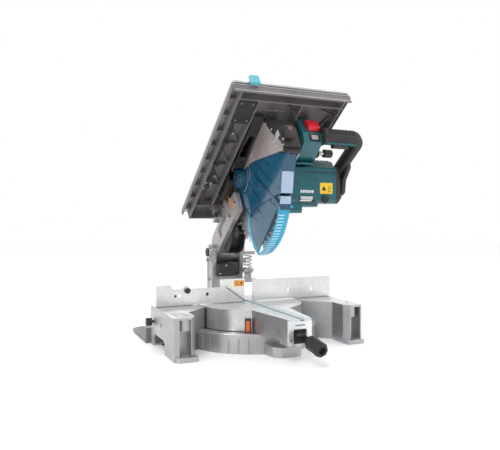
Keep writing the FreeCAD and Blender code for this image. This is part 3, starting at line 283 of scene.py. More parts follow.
BLADE_STEEL = cast_metal("blade_steel", (0.60, 0.62, 0.64), (0.74, 0.76, 0.78), grain=420, rough=(0.22, 0.36),
                         metallic=0.7, depth=0.00002)
WHITE = moulded("white_enamel", (0.80, 0.79, 0.76), rough=(0.3, 0.42), grain=2200, depth=0.00002, variation=0.03)
BLACK = moulded("black_plastic", (0.022, 0.020, 0.021), rough=(0.38, 0.52), wear=0.5)
RUBBER = moulded("black_grip", (0.016, 0.015, 0.016), rough=(0.5, 0.66), grain=900, depth=0.00012, wear=0.4)
CABLE = moulded("cable_sheath", (0.014, 0.014, 0.015), rough=(0.42, 0.55), grain=2600, depth=0.00002)
TEAL = moulded("teal_plastic", (0.004, 0.105, 0.130), rough=(0.26, 0.38), coat=0.25, wear=0.35)
# A darker copy of the teal plastic: painted shade for the teal parts that lie in shadow.
TEAL_SHADED = moulded("teal_plastic_shaded", (0.003, 0.055, 0.062), rough=(0.34, 0.46), wear=0.35)
CLAMP_TEAL = moulded("light_teal_plastic", (0.11, 0.42, 0.50), rough=(0.3, 0.4))
RED = moulded("red_plastic", (0.62, 0.008, 0.022), rough=(0.18, 0.28), coat=0.6, depth=0.00002)
ORANGE = moulded("orange_plastic", (0.74, 0.13, 0.02), rough=(0.35, 0.45))
LABEL_ORANGE = printed("orange_label", (0.80, 0.36, 0.07))
LABEL_YELLOW = printed("yellow_label", (0.90, 0.56, 0.02))
LABEL_WHITE = printed("white_print", (0.82, 0.84, 0.84))
LABEL_GREY = printed("grey_label", (0.36, 0.37, 0.38))
# Black, for print and dark joints, and also as painted shade: the kerf slot, the fence gap, the pointer's slit.
PRINT_AND_SHADE = moulded("black_print_and_shade", (0.02, 0.02, 0.02), rough=(0.35, 0.45), depth=0.00001)
KERF = moulded("kerf_plastic", (0.55, 0.64, 0.66), rough=(0.25, 0.4), variation=0.05)
LENS = moulded("laser_lens", (0.10, 0.005, 0.005), rough=(0.05, 0.1), coat=1.0)
COPPER = moulded("windings", (0.42, 0.15, 0.05), rough=(0.35, 0.5), grain=300, depth=0.0004)
CARBIDE = cast_metal("carbide", (0.45, 0.45, 0.46), (0.60, 0.60, 0.61), rough=(0.2, 0.3), metallic=1.0)
GUARD_BLUE = clear_plastic("guard_blue", (0.014, 0.105, 0.19), density=0.78)
GUARD_RIB = clear_plastic("guard_rib", (0.004, 0.045, 0.11), density=0.86)
GUARD_CYAN = clear_plastic("guard_cyan", (0.02, 0.50, 0.78), density=0.60)
# Near-white cyan for bright bars on the lower guard's rim: painted highlight.
GUARD_GLINT = clear_plastic("guard_glint", (0.50, 0.88, 0.95), density=0.85)
GUARD_PALE = clear_plastic("guard_pale", (0.54, 0.66, 0.88), density=0.66)
COVER_CLEAR = clear_plastic("cover_clear", (0.60, 0.72, 0.76), density=0.28)

FINISH = {
    "cast_alu": CAST, "machined_alu": MACHINED, "scale_plate": MACHINED, "table_alu": TABLE_SHADED,
    "arm_paint": ARM_GREY, "steel": STEEL, "zinc_steel": ZINC, "blade_steel": BLADE_STEEL,
    "white_paint": WHITE, "case_metal": CASE_GREY, "black_plastic": BLACK, "grip_rubber": RUBBER,
    "cable_rubber": CABLE, "teal_plastic": TEAL, "clamp_teal": CLAMP_TEAL, "red_plastic": RED,
    "orange_plastic": ORANGE, "kerf_plastic": KERF, "guard_blue": GUARD_BLUE, "guard_cyan": GUARD_CYAN,
    "cover_clear": COVER_CLEAR, "copper_core": COPPER,
}
SLOT_OF = {part["node"]: part["material_slot"] for part in frame["record"]["subparts"]}
OWN_FINISH = {"turntable": TURNTABLE, "table_top": TABLE_FACE, "rear_feet": FOOT_GREY}


def finish_of(node):
    return OWN_FINISH.get(node, FINISH[SLOT_OF[node]])


# ---- making pieces

def level(x, y, z):
    """A place on the head, given as it lies with the head level."""
    return RAISE @ Vector((x, y, z))


def solid_data(name, mesh):
    """A bmesh as mesh data; the bmesh is used up."""
    data = bpy.data.meshes.new(name)
    mesh.to_mesh(data)
    mesh.free()
    return data


def new_object(name, data, node, material=None):
    """A piece that rides with a CAD node's body and takes its slot."""
    item = show(bpy.data.objects.new(name, data))
    item.data.materials.append(material or finish_of(node))
    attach(item, BODY_OF[node])
    return item


def piece(name, mesh, node, material=None, bevel=0.0, smooth=35, segments=2):
    """Turns a bmesh, or a list of them, into a piece, with its edges rounded where a width is given."""
    mesh = joined(mesh) if isinstance(mesh, list) else mesh
    bmesh.ops.recalc_face_normals(mesh, faces=mesh.faces)
    item = new_object(name, solid_data(name, mesh), node, material)
    round_off(item, bevel, smooth, segments)
    return item


def round_off(item, width, smooth=35, segments=2):
    """Real rounded edges of a width, and smooth shading up to an angle."""
    if width > 0:
        bevel = item.modifiers.new("round", "BEVEL")
        bevel.width = width
        bevel.segments = segments
        bevel.limit_method = "ANGLE"
        bevel.angle_limit = math.radians(35)
        bevel.use_clamp_overlap = True
        bevel.harden_normals = False
    data = item.data
    for face in data.polygons:
        face.use_smooth = True
    data.set_sharp_from_angle(angle=math.radians(smooth))
    if width > 0:
        even = item.modifiers.new("even", "WEIGHTED_NORMAL")
        even.keep_sharp = True


def dressed(node, width, material=None, segments=2):
    """A copy of a CAD node's mesh with real rounded edges, which stands for the node."""
    mesh = bmesh.new()
    mesh.from_mesh(NODES[node].data)
    bmesh.ops.remove_doubles(mesh, verts=mesh.verts, dist=0.00002)
    bmesh.ops.dissolve_limit(mesh, angle_limit=math.radians(1.0), verts=mesh.verts, edges=mesh.edges,
                             use_dissolve_boundaries=False)
    data = solid_data(node + "_body", mesh)
    data.materials.clear()
    item = new_object(node + "_body", data, node, material)
    round_off(item, width, segments=segments)
    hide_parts(node)
    return item


def dress_all(segments=2, **widths):
    """Several CAD nodes dressed in turn, each with its own edge width."""
    for node, width in widths.items():
        dressed(node, width, segments=segments)


def keep_node(node):
    """A CAD node whose own mesh is shown, with a better material."""
    data = NODES[node].data
    data.materials.clear()
    data.materials.append(finish_of(node))


def extrude(points, offset):
    """A solid between an outline and the same outline moved by an offset."""
    mesh = bmesh.new()
    bottom = [mesh.verts.new(Vector(point)) for point in points]
    top = [mesh.verts.new(Vector(point) + Vector(offset)) for point in points]
    mesh.faces.new(bottom)
    mesh.faces.new(list(reversed(top)))
    count = len(points)
    for index in range(count):
        after = (index + 1) % count
        mesh.faces.new((bottom[index], bottom[after], top[after], top[index]))
    return mesh


def lathe(profile, base, direction, steps=40):
    """A turned solid.  Profile is (along, radius), from one end of the axis to the other."""
    mesh = bmesh.new()
    axis = Vector(direction).normalized()
    turn = axis.to_track_quat("Z", "Y").to_matrix()
    rings = []
    for along, radius in profile:
        if radius < 1e-7:
            rings.append([mesh.verts.new(Vector(base) + axis * along)])
            continue
        row = []
        for step in range(steps):
            angle = 2 * math.pi * step / steps
            spot = Vector((radius * math.cos(angle), radius * math.sin(angle), along))
            row.append(mesh.verts.new(Vector(base) + turn @ spot))
        rings.append(row)
    for first, second in zip(rings, rings[1:]):
        for step in range(steps):
            after = (step + 1) % steps
            unique = list(dict.fromkeys((first[step % len(first)], first[after % len(first)],
                                         second[after % len(second)], second[step % len(second)])))
            if len(unique) > 2:
                mesh.faces.new(unique)
    return mesh


def joined(meshes):
    """Several bmeshes as one."""
    whole = bmesh.new()
    for mesh in meshes:
        bmesh.ops.recalc_face_normals(mesh, faces=mesh.faces)
        data = solid_data("part", mesh)
        whole.from_mesh(data)
        bpy.data.meshes.remove(data)
    return whole


# ---- shapes given in millimetres

LEFT, RIGHT, FRONT, UP, DOWN = (-1, 0, 0), (1, 0, 0), (0, -1, 0), (0, 0, 1), (0, 0, -1)


def rounded(corners, steps=5):
    """An outline with a corner rounded wherever it has a third number, its radius."""
    count = len(corners)
    outline = []
    for index, corner in enumerate(corners):
        here = Vector(corner[:2])
        before = Vector(corners[index - 1][:2]) - here
        after = Vector(corners[(index + 1) % count][:2]) - here
        half = before.angle(after) / 2
        if len(corner) < 3 or half > 1.55:
            outline.append(here)
            continue
        reach = min(corner[2] / math.tan(half), 0.49 * before.length, 0.49 * after.length)
        radius = reach * math.tan(half)
        start = here + before.normalized() * reach
        end = here + after.normalized() * reach
        centre = here + (before.normalized() + after.normalized()).normalized() * (radius / math.sin(half))
        sweep = math.pi - 2 * half
        first = start - centre
        turn = 1 if first.x * (end - centre).y - first.y * (end - centre).x > 0 else -1
        for step in range(steps + 1):
            angle = turn * sweep * step / steps
            outline.append(centre + Vector((first.x * math.cos(angle) - first.y * math.sin(angle),
                                            first.x * math.sin(angle) + first.y * math.cos(angle))))
    return outline


def slab(axis, corners, low, high):
    """A solid from an outline across the named axis, between two places on it."""
    order = {"X": lambda a, b: (low, a, b), "Y": lambda a, b: (a, low, b), "Z": lambda a, b: (a, b, low)}[axis]
    offset = {"X": (high - low, 0, 0), "Y": (0, high - low, 0), "Z": (0, 0, high - low)}[axis]
    points = [Vector(order(point[0], point[1])) * MM for point in rounded(corners)]
    return extrude(points, Vector(offset) * MM)


def plate(axis, left, low, right, high, start, end, radius=None):
    """A rectangle across an axis, with its four corners rounded where a radius is given."""
    extra = (radius,) if radius else ()
    return slab(axis, [spot + extra for spot in ((left, low), (right, low), (right, high), (left, high))], start, end)


def box(low, high):
    """A rectangular solid between two corners."""
    return plate("Z", *low[:2], *high[:2], low[2], high[2])


def turning(profile, base, direction, steps=40):
    """A turned solid, from a profile of (along, radius)."""
    return lathe([(along * MM, radius * MM) for along, radius in profile], Vector(base) * MM, direction, steps)


def lifted(mesh):
    """Takes a mesh made for the level head to where the raised head has it."""
    mesh.transform(RAISE)
    return mesh


def screws(places, direction, radius, height=1.6):
    """Pan-head screws with round sockets, side by side."""
    dip = height * 0.8
    profile = [(-1, 0), (-1, radius), (height * 0.55, radius), (height, radius * 0.8), (height, radius * 0.48),
               (height - dip, radius * 0.44), (height - dip, 0)]
    return joined([turning(profile, place, direction, 20) for place in places])


def bar(start, end, width, thick, axis, low):
    """A narrow straight strip on a face across the axis."""
    run = (Vector(end) - Vector(start)).normalized()
    side = Vector((-run.y, run.x)) * width / 2
    first = Vector(start)
    last = Vector(end)
    return slab(axis, [tuple(first - side), tuple(last - side), tuple(last + side), tuple(first + side)],
                low, low + thick)


def ring(axis, middle, inner, outer, low, high, steps=40, first=0.0, last=360.0):
    """A flat ring, or part of one, across an axis."""
    mesh = bmesh.new()
    closed = last - first > 359.9
    count = steps if closed else steps + 1
    rows = []
    for step in range(count):
        angle = math.radians(first + (last - first) * step / steps)
        row = []
        for radius, along in ((inner, low), (outer, low), (outer, high), (inner, high)):
            across = middle[0] + radius * math.cos(angle)
            up = middle[1] + radius * math.sin(angle)
            spot = {"X": (along, across, up), "Y": (across, along, up), "Z": (across, up, along)}[axis]
            row.append(mesh.verts.new(Vector(spot) * MM))
        rows.append(row)
    for step in range(steps):
        here = rows[step]
        there = rows[(step + 1) % count]
        for corner in range(4):
            after = (corner + 1) % 4
            mesh.faces.new((here[corner], there[corner], there[after], here[after]))
    if not closed:
        mesh.faces.new(rows[0])
        mesh.faces.new(list(reversed(rows[-1])))
    return mesh


def swept(path, sections, side):
    """A solid along a path that lies in a plane; side is the plane's normal.
    A section is (half width along the normal, half width in the plane), as a rounded oblong."""
    mesh = bmesh.new()
    count = len(path)
    rings = []
    side = Vector(side).normalized()
    for index, point in enumerate(path):
        before = Vector(path[max(index - 1, 0)])
        after = Vector(path[min(index + 1, count - 1)])
        along = (after - before).normalized()
        across = along.cross(side)
        half_side, half_across = sections[index]
        row = []
        for step in range(32):
            angle = 2 * math.pi * step / 32
            flat = [math.copysign(abs(value) ** 0.7, value) for value in (math.cos(angle), math.sin(angle))]
            spot = Vector(point) + side * (half_side * flat[0]) + across * (half_across * flat[1])
            row.append(mesh.verts.new(spot * MM))
        rings.append(row)
    for here, there in zip(rings, rings[1:]):
        for step in range(32):
            after = (step + 1) % 32
            mesh.faces.new((here[step], here[after], there[after], there[step]))
    mesh.faces.new(list(reversed(rings[0])))
    mesh.faces.new(rings[-1])
    return mesh


def bent(points, radius, steps=8):
    """Points along straight runs with the corners between them rounded."""
    path = [Vector(points[0])]
    for index in range(1, len(points) - 1):
        here = Vector(points[index])
        before = Vector(points[index - 1]) - here
        after = Vector(points[index + 1]) - here
        half = before.angle(after) / 2
        reach = min(radius / math.tan(half), 0.49 * before.length, 0.49 * after.length)
        start = here + before.normalized() * reach
        end = here + after.normalized() * reach
        for step in range(steps + 1):
            share = step / steps
            path.append(start * (1 - share) ** 2 + here * 2 * share * (1 - share) + end * share ** 2)
    path.append(Vector(points[-1]))
    return path


# ---- base, fences and turntable


def base_pieces():
    dressed("base_casting", 0.0014, segments=3)
    for side in (-1, 1):
        tag = "left" if side < 0 else "right"
        pad = [(side * x, y, 3) for x, y in ((226, -168), (276, -176), (276, -104), (240, -104))]
        piece("column_pad_" + tag, slab("Z", pad, TURN_TOP, TURN_TOP + 0.5), "base_casting", MACHINED, 0.0002)
        piece("column_screws_" + tag, screws([(side * 244, -150, 110.3), (side * 266, -122, 110.3)], UP, 4.5,
                                             1.2), "base_casting", ZINC)
        piece("foot_pad_" + tag, plate("Z", side * 232, -190, side * 246, -184, 12, 12.4, 2), "base_casting", PRINT_AND_SHADE)
        piece("side_label_" + tag, plate("X", 10, 30, 46, 46, side * CASTING_SIDE - 0.15,
                                         side * CASTING_SIDE + 0.15), "base_casting", LABEL_GREY)
    ticks = []
    for turn in range(-46, 47, 2):
        angle = math.radians(turn - 90)
        long = 186 if turn % 10 == 0 else 178
        ticks.append(bar((169 * math.cos(angle), 169 * math.sin(angle)),
                         (long * math.cos(angle), long * math.sin(angle)), 0.7, 0.15, "Z", 51.15))
    piece("mitre_scale_marks", ticks, "mitre_scale", PRINT_AND_SHADE)
    keep_node("mitre_scale")
    dressed("rear_feet", 0.0016)
    dressed("holder_knobs", 0.0006, BLACK)
    feet = [turning([(0, 0), (0, 11), (1.2, 12), (1.5, 12), (1.5, 0)], (side * 250, place, 0), UP)
            for side in (-1, 1) for place in (-130, 20)]
    piece("foot_pads", feet, "base_casting", RUBBER)


def fence_pieces():
    dress_all(3, fence_left=0.001, fence_right=0.001)
    dressed("sub_fence", 0.0012)
    dressed("sub_fence_pivot", 0.0005, BLACK)
    # A dark strip along the gap at the fence's slanted end: painted shade in the gap.
    piece("fence_gap_shade", bar((-74, 156), (-12, 112.8), 2.2, 8.6, "Y", -0.35), "fence_left", PRINT_AND_SHADE)
    piece("sub_fence_label", plate("Y", -46, 156, -13, 175, 8.2, 8.4, 1), "sub_fence", LABEL_ORANGE)
    marks = [plate("Y", -42, low, right, low + 1.6, 8.1, 8.2) for low, right in ((169, -30), (165, -33), (161, -22))]
    marks.append(slab("Y", [(-27, 164), (-17, 164), (-22, 172)], 8.1, 8.2))
    piece("sub_fence_print", marks, "sub_fence", PRINT_AND_SHADE)
    piece("fence_screws", screws([(-228, 0, 139), (-132, 0, 141)], FRONT, 3.6, 1.0), "fence_left", BLACK)


def turntable_pieces():
    dressed("turntable", 0.0013, segments=3)
    dressed("kerf_boards", 0.0004)
    places = [((left + right) / 2, place, 108.2) for left, right in ((-26, -3), (8, 28))
              for place in (-290, -190, -90, 6)]
    piece("kerf_board_screws", screws(places, UP, 3.6, 1.4), "kerf_boards", ZINC)
    # A black sheet at the bottom of the kerf slot: painted shade, so that the slot reads dark.
    piece("kerf_slot_shade", box((-3, -319, 106), (8, -236, 106.3)), "turntable", PRINT_AND_SHADE)
    dressed("mitre_pointer", 0.0008)
    turn = Matrix.Rotation(math.radians(-25), 4, "Z")
    slit = joined([box((-8.6, -162.2, 54), (8.6, -156.1, 88)), box((-0.5, -167.3, 56), (0.5, -166.9, 80))])
    slit.transform(turn)
    piece("pointer_shade", slit, "turntable", PRINT_AND_SHADE, 0.0003)
    bright = slab("Y", [(-33, 47), (-18.6, 47), (-18.6, 86, 4), (18.6, 86, 4), (18.6, 47), (33, 47), (33, 109, 6),
                         (-33, 109, 6)], -312.5, -311.9)
    piece("arm_front_face", bright, "turntable", MACHINED, 0.0002)
    piece("arm_mouth", slab("Y", [(-17.6, 47.5), (17.6, 47.5), (17.6, 84.6, 4), (-17.6, 84.6, 4)], -305.2, -303.5),
          "turntable", BLACK)
    piece("arm_name_bar", plate("Y", -14, 93, 14, 97, -312.8, -312.4), "turntable", LABEL_GREY)
    piece("arm_screws", screws([(-25, -312, 58), (26, -312, 58)], FRONT, 3.0, 1.2), "turntable", BLACK)
    dressed("mitre_lock_lever", 0.001)
    grip = turning([(-60, 0), (-60, 6), (-58, 7), (28, 7), (30, 10), (34, 16.4), (40, 19.2), (52, 18.4), (74, 18.4),
                    (85, 19.2), (90, 16), (92, 14.4), (92, 10.6), (90.5, 9.6), (82, 9.4), (82, 0)],
                   GRIP_PLACE, GRIP_AXIS, 8)
    item = piece("mitre_grip_body", grip, "mitre_grip", RUBBER, 0.0012, smooth=25, segments=3)
    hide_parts("mitre_grip")
    collar = turning([(22, 0), (22, 10), (27.5, 10), (27.5, 0)], GRIP_PLACE, GRIP_AXIS, 28)
    piece("mitre_grip_collar", collar, "mitre_grip", BLACK, 0.0006)
    dressed("bevel_hinge_pin", 0.0005)


def bracket_pieces():
    dressed("bevel_bracket", 0.0018, segments=3)
    dress_all(stop_box=0.0016, stop_bolts=0.0004, pivot_shaft=0.0006, spring_seat=0.0006, bevel_lever=0.0014,
              stop_pin=0.0006, bevel_scale=0.0004)
    ribs = [slab("X", [(176, 122), (182, 122), (186, 262), (178, 262)], -54.2, -52.9),
            slab("X", [(216, 122), (222, 122), (222, 262), (214, 262)], -54.2, -52.9),
            ring("X", PIVOT_PLACE, 19, 25, -54.6, -52.9)]
    piece("bracket_ear_ribs", ribs, "bevel_bracket", CAST, 0.0006)
    piece("stop_box_screws", screws([(-14, 150, 207), (-35, 150, 181)], FRONT, 2.8, 1.2), "stop_box", ZINC)
    piece("pivot_saddle", ring("X", PIVOT_PLACE, 28.5, 36, -40.5, 40.5, 40, 243, 318), "bevel_bracket", BLACK, 0.0008)
    cap = turning([(0, 0), (0, 15.6), (3, 15.6), (5, 13), (5, 6), (3, 5), (3, 0)], (-59.6,) + PIVOT_PLACE, LEFT, 6)
    piece("pivot_nut", cap, "pivot_shaft", BLACK, 0.0006)


# ---- the head's castings

def arm_pieces():
    dressed("head_arm", 0.0018, segments=3)
    dress_all(lift_posts=0.0006, riving_knife=0.0003, chip_chute=0.0012)
    flap = [(60, 256, 4), (60, 214, 4), (40, 196, 6), (22, 204, 8), (24, 256, 4)]
    piece("chute_flap", lifted(slab("X", flap, -20.5, -18.5)), "chip_chute", RUBBER, 0.0005)
    piece("arm_label", bar((84, 432), (30, 386), 11, 0.3, "X", -38.1), "head_arm", LABEL_ORANGE)
    marks = [bar((80 - 9 * step, 428.6 - 7.7 * step), (76 - 9 * step, 425.2 - 7.7 * step), 7.0, 0.1, "X", -38.2)
             for step in range(6)]
    piece("arm_label_print", marks, "head_arm", PRINT_AND_SHADE)
    inside = [(150, 244), (176, 250), (176, 286), (118, 300), (60, 314), (22, 316), (22, 262), (56, 250), (120, 242)]
    piece("arm_lining", lifted(slab("X", inside, -24.6, -23.2)), "head_arm", BLACK, 0.0005)
    places = [(-37.6, y, z) for y, z in ((112, 395), (126, 356), (20, 408), (60, 366))]
    piece("arm_screws_left", screws(places, LEFT, 4.2, 2.0), "head_arm", BLACK)
    edge = [lifted(slab("X", [(-48, 240), (140, 232), (200, 226), (206, 240), (206, 246), (196, 233), (140, 239),
                              (-46, 247)], side, side + 1.6)) for side in (-39.0, 37.4)]
    piece("arm_edge_ribs", edge, "head_arm", ARM_GREY, 0.0005)


def case_pieces():
    dress_all(blade_case=0.0009, upper_cover=0.0016)
    dressed("nose_cover", 0.0022, segments=3)
    dressed("laser_unit", 0.0012)
    seams = [ring("X", GUARD_HUB, inner, outer, -24.5, -23.9, first=first, last=last)
             for inner, outer, first, last in ((41, 42.4, 60, 250), (56, 57.2, 70, 190))]
    seams += [lifted(bar(start, end, width, 0.6, "X", -24.5)) for start, end, width in
              (((-300, 340), (-120, 340), 1.6), ((-316, 300), (-300, 345), 1.6), ((-256, 268), (-256, 344), 1.4))]
    piece("case_seams", seams, "blade_case", CASE_GREY, 0.0002)
    spots = [(-24, -308, 330), (-24, -326, 292), (-24, -186, 330), (-24, -320, 240)]
    piece("case_screws", lifted(screws(spots, LEFT, 3.4, 1.4)), "blade_case", ZINC)
    grooves = [lifted(plate("X", start, 320, start + 3, 352, -58.5, -57.7)) for start in range(-270, 0, 30)]
    piece("upper_cover_ribs", grooves, "upper_cover", BLACK, 0.0003)
    clasp = [(-331, 254, 1), (-311, 256, 1), (-313, 263, 1), (-331, 262, 1)]
    lip = [(-350, 194.5, 1), (-341, 194.5, 1), (-341, 206), (-350, 206)]
    for name, mesh, node, material, width in (
            ("upper_cover_latch", plate("X", -150, 322, -118, 338, -62, -57.6, 3), "upper_cover", BLACK, 0.0012),
            ("laser_window", plate("Y", -15, 234, -3, 250, -383.2, -381.6, 1), "laser_unit", LENS, 0.0006),
            ("nose_side_plate", plate("X", -353, 247, -335, 265, -25.6, -23.9, 1), "nose_cover", LABEL_GREY, 0.0006),
            ("nose_lip", slab("X", lip, -24.4, 24.4), "nose_cover", BLACK, 0.0006),
            ("nose_clasp", slab("X", clasp, -26.4, -23.8), "blade_case", MACHINED, 0.0006)):
        piece(name, lifted(mesh), node, material, width)
    lenses = [lifted(turning([(0, 0), (0, 3.3), (1.6, 3.3), (1.6, 0)], (place, -374, 221.4), UP, 20))
              for place in (-15, -3)]
    piece("laser_lenses", lenses, "laser_unit", LENS)
    piece("nose_screws", lifted(screws([(-24, -360, 226), (-24, -352, 214)], LEFT, 3.4, 2.0)), "nose_cover", ZINC)
    cup = turning([(0, 0), (0, 28.5), (20, 27), (23, 25), (24, 22), (24, 0)], (-19,) + GUARD_HUB, LEFT, 48)
    item = piece("guard_hub_cup", cup, "guard_hub", GUARD_BLUE, 0.0004)
    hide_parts("guard_hub")
    core = turning([(2, 0), (2, 13), (24, 13), (26, 11.5), (26, 6), (24.5, 5), (24.5, 0)], (-19,) + GUARD_HUB, LEFT)
    piece("guard_hub_core", core, "guard_hub", BLACK, 0.0004)
    piece("guard_hub_lip", ring("X", GUARD_HUB, 21.5, 25.5, -43.6, -42.2), "guard_hub", GUARD_RIB, 0.0004)


# ---- guards and blade

def around(distance, degrees):
    """A place in the blade's plane, from its axis, with 180 degrees at the blade's front."""
    angle = math.radians(degrees)
    return (SAW_MM.y + distance * math.cos(angle), SAW_MM.z + distance * math.sin(angle))


def arc_points(*spots):
    """An outline of places from the blade's axis, each with a corner radius where it has one."""
    return [around(*spot[:2]) + spot[2:] for spot in spots]


def clear_guard_pieces():
    left = [(-262, 523, 3), (-229, 532), (-120, 528), (-50, 522), (14, 492, 14), (52, 468, 18), (24, 408, 16),
            (-30, 386), (-60, 386), (-240.6, 424), (-247, 480)]
    item = piece("clear_guard_left", slab("X", left, -19, -17), "clear_guard", GUARD_BLUE, 0.0005)
    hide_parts("clear_guard")
    right = [(-262, 523), (-120, 528), (-98, 470), (-98, 408), (-240.6, 424), (-247, 480)]
    piece("clear_guard_right", slab("X", right, 17, 19), "clear_guard", GUARD_BLUE, 0.0005)
    top = [(-262, 523), (-247.5, 480), (-244.5, 480), (-259, 523)]
    piece("clear_guard_rim_top", slab("X", top, -17, 17), "clear_guard", GUARD_BLUE, 0.0004)
    pale = [(-247.5, 480), (-241.6, 424), (-238.6, 424), (-244.5, 480)]
    piece("clear_guard_window", slab("X", pale, -17, 17), "clear_guard", GUARD_PALE, 0.0004)
    hook = [(-256, 508), (-272, 511), (-287, 519, 4), (-280, 526, 3), (-256, 519)]
    piece("clear_guard_hook", slab("X", hook, -19, -17), "clear_guard", GUARD_BLUE, 0.0004)
    ribs = [bar(start, end, 2.2, 1.2, "X", -20.1) for start, end in
            (((-123, 525), (-186, 494)), ((-82, 518), (-190, 455)), ((23, 503), (-138, 395)))]
    ribs.append(bar((-80, 484), (-222, 401), 9, 1.2, "X", -20.1))
    ribs.append(bar((6, 403), (-60, 366), 2.2, 1.0, "X", -20.1))
    piece("clear_guard_ribs", ribs, "clear_guard", GUARD_RIB, 0.0003)
    lips = [bar((-120, 526.6), (-228, 530.6), 2.6, 1.4, "X", -20.2), bar((-50, 520.4), (10, 492), 2.6, 1.4, "X", -20.2),
            bar((-120, 526.6), (-50, 520.6), 2.6, 1.4, "X", -20.2)]
    piece("clear_guard_lips", lips, "clear_guard", GUARD_CYAN, 0.0004)
    rivets = screws([(-19, -242, 508), (-19, -232, 438), (-19, 36, 462)], LEFT, 3.4, 1.2)
    piece("clear_guard_rivets", rivets, "clear_guard", GUARD_RIB)


GUARD_REACH = 178
GUARD_OUTER = 181


def lower_guard_pieces():
    left = arc_points((40, 185), (180, 185), (180, 193), (158, 203), (150, 216), (150, 232), (164, 250), (177, 257),
                      (160, 265, 20), (134, 272, 40), (96, 287, 20), (50, 292, 10), (30, 270))
    item = piece("lower_guard_left", slab("X", left, -15.5, -13.5), "lower_guard", GUARD_BLUE, 0.0005)
    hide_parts("lower_guard")
    piece("lower_guard_hub", ring("X", AXLE, 28, 42, -16.0, -13.5), "lower_guard", GUARD_RIB, 0.0005)
    piece("lower_guard_right", ring("X", AXLE, 38, GUARD_REACH, 13.5, 15.5, 48, 185, 263), "lower_guard",
          GUARD_CYAN, 0.0004)
    lobe = arc_points((176, 262.5), (159, 266), (133, 273, 20), (96, 287, 16), (42, 285), (42, 262.5))
    piece("lower_guard_lobe", slab("X", lobe, 13.5, 15.5), "lower_guard", GUARD_CYAN, 0.0004)
    piece("lower_guard_hub_right", ring("X", AXLE, 26, 38.5, 13.4, 15.6), "lower_guard", GUARD_BLUE)
    for tag, first, last, left_side, material in (("window", 185, 191.5, -15.5, GUARD_PALE),
                                                  ("band", 191.5, 196.5, -15.5, GUARD_RIB),
                                                  ("rim", 196.5, 257, -15.5, GUARD_CYAN),
                                                  ("foot", 257, 263, -2, GUARD_CYAN)):
        piece("lower_guard_" + tag, ring("X", AXLE, GUARD_REACH, GUARD_OUTER, left_side, 15.5, 40, first, last),
              "lower_guard", material, 0.0003)
    # Bright ribs across the lower guard's rim: painted highlights, standing for glints and for the teeth seen through.
    ribs = []
    for turn in range(201, 260, 3):
        corners = arc_points((180.4, turn - 0.55), (181.7, turn - 0.55), (181.7, turn + 0.55), (180.4, turn + 0.55))
        ribs.append(slab("X", corners, -15.3, 1.0))
    piece("lower_guard_fins", ribs, "lower_guard", GUARD_GLINT)
    edge = arc_points((177, 257), (160, 265, 18), (134, 272, 36), (96, 287, 18), (50, 292), (49, 286), (91, 281, 16),
                      (126, 267.5, 30), (152, 261, 16), (168, 254))
    piece("lower_guard_edge", slab("X", edge, -16.6, -15.3), "lower_guard", GUARD_CYAN, 0.0004)
    lip = ring("X", AXLE, 176.4, GUARD_OUTER, -16.6, -15.3, 48, 194, 257)
    piece("lower_guard_lip", lip, "lower_guard", GUARD_CYAN, 0.0003)
    ribs = [bar(start, end, 2.2, 1.0, "X", -16.5) for start, end in
            (((-17, 423), (-123, 370)), ((6, 386), (-93, 351)), ((-86, 446), (-205, 392)))]
    piece("lower_guard_ribs", ribs, "lower_guard", GUARD_RIB, 0.0003)
    knob = turning([(0, 0), (0, 3.5), (6, 3.5), (7, 3), (7, 0)], (13, -235, 390), RIGHT, 20)
    piece("lower_guard_stop", knob, "lower_guard", GUARD_CYAN, 0.0004)


TEETH = 40


def blade_pieces():
    dressed("blade", 0.0001, segments=1)
    tips = []
    for tooth in range(TEETH):
        turn = math.radians(tooth * 360 / TEETH)
        run = Vector((math.cos(turn), math.sin(turn)))
        side = Vector((-run.y, run.x))
        low = Vector((SAW_MM.y, SAW_MM.z)) + run * 145.5
        high = Vector((SAW_MM.y, SAW_MM.z)) + run * 152.4
        corners = [tuple(low - side * 0.4), tuple(high - side * 0.4), tuple(high + side * 2.0), tuple(low + side * 1.6)]
        tips.append(slab("X", corners, -1.45, 1.45))
    piece("blade_tips", tips, "blade", CARBIDE)
    slots = []
    for share in range(4):
        turn = 20 + share * 90
        slots.append(bar(around(118, turn), around(139, turn + 5), 1.4, 2.06, "X", -1.03))
    piece("blade_slots", slots, "blade", PRINT_AND_SHADE)
    piece("blade_print", ring("X", AXLE, 74, 96, -1.06, -0.98, 40, 20, 150), "blade", LABEL_GREY)
    dress_all(flanges=0.0005, arbor_bolt=0.0005, spindle=0.0002)


# ---- motor, neck and handle

NECK_TOP = (-165, 637)
NECK_BROW = (-209, 590)
NECK_CHIN = (-219, 564)
SLOPE = (NECK_TOP, NECK_BROW)
UPRIGHT = (NECK_BROW, NECK_CHIN)


def on_face(top, foot, down, out):
    """A point on one stretch of the neck's front, a distance down it and out from it."""
    run = (Vector(foot) - Vector(top)).normalized()
    spot = Vector(top) + run * down + Vector((run.y, -run.x)) * out
    return (spot.x, spot.y)


def on_neck(top, foot, start, end, left, right, inside, outside):
    """A flat block on one stretch of the neck's front."""
    corners = [on_face(top, foot, start, outside), on_face(top, foot, end, outside),
               on_face(top, foot, end, inside), on_face(top, foot, start, inside)]
    return slab("X", corners, left, right)


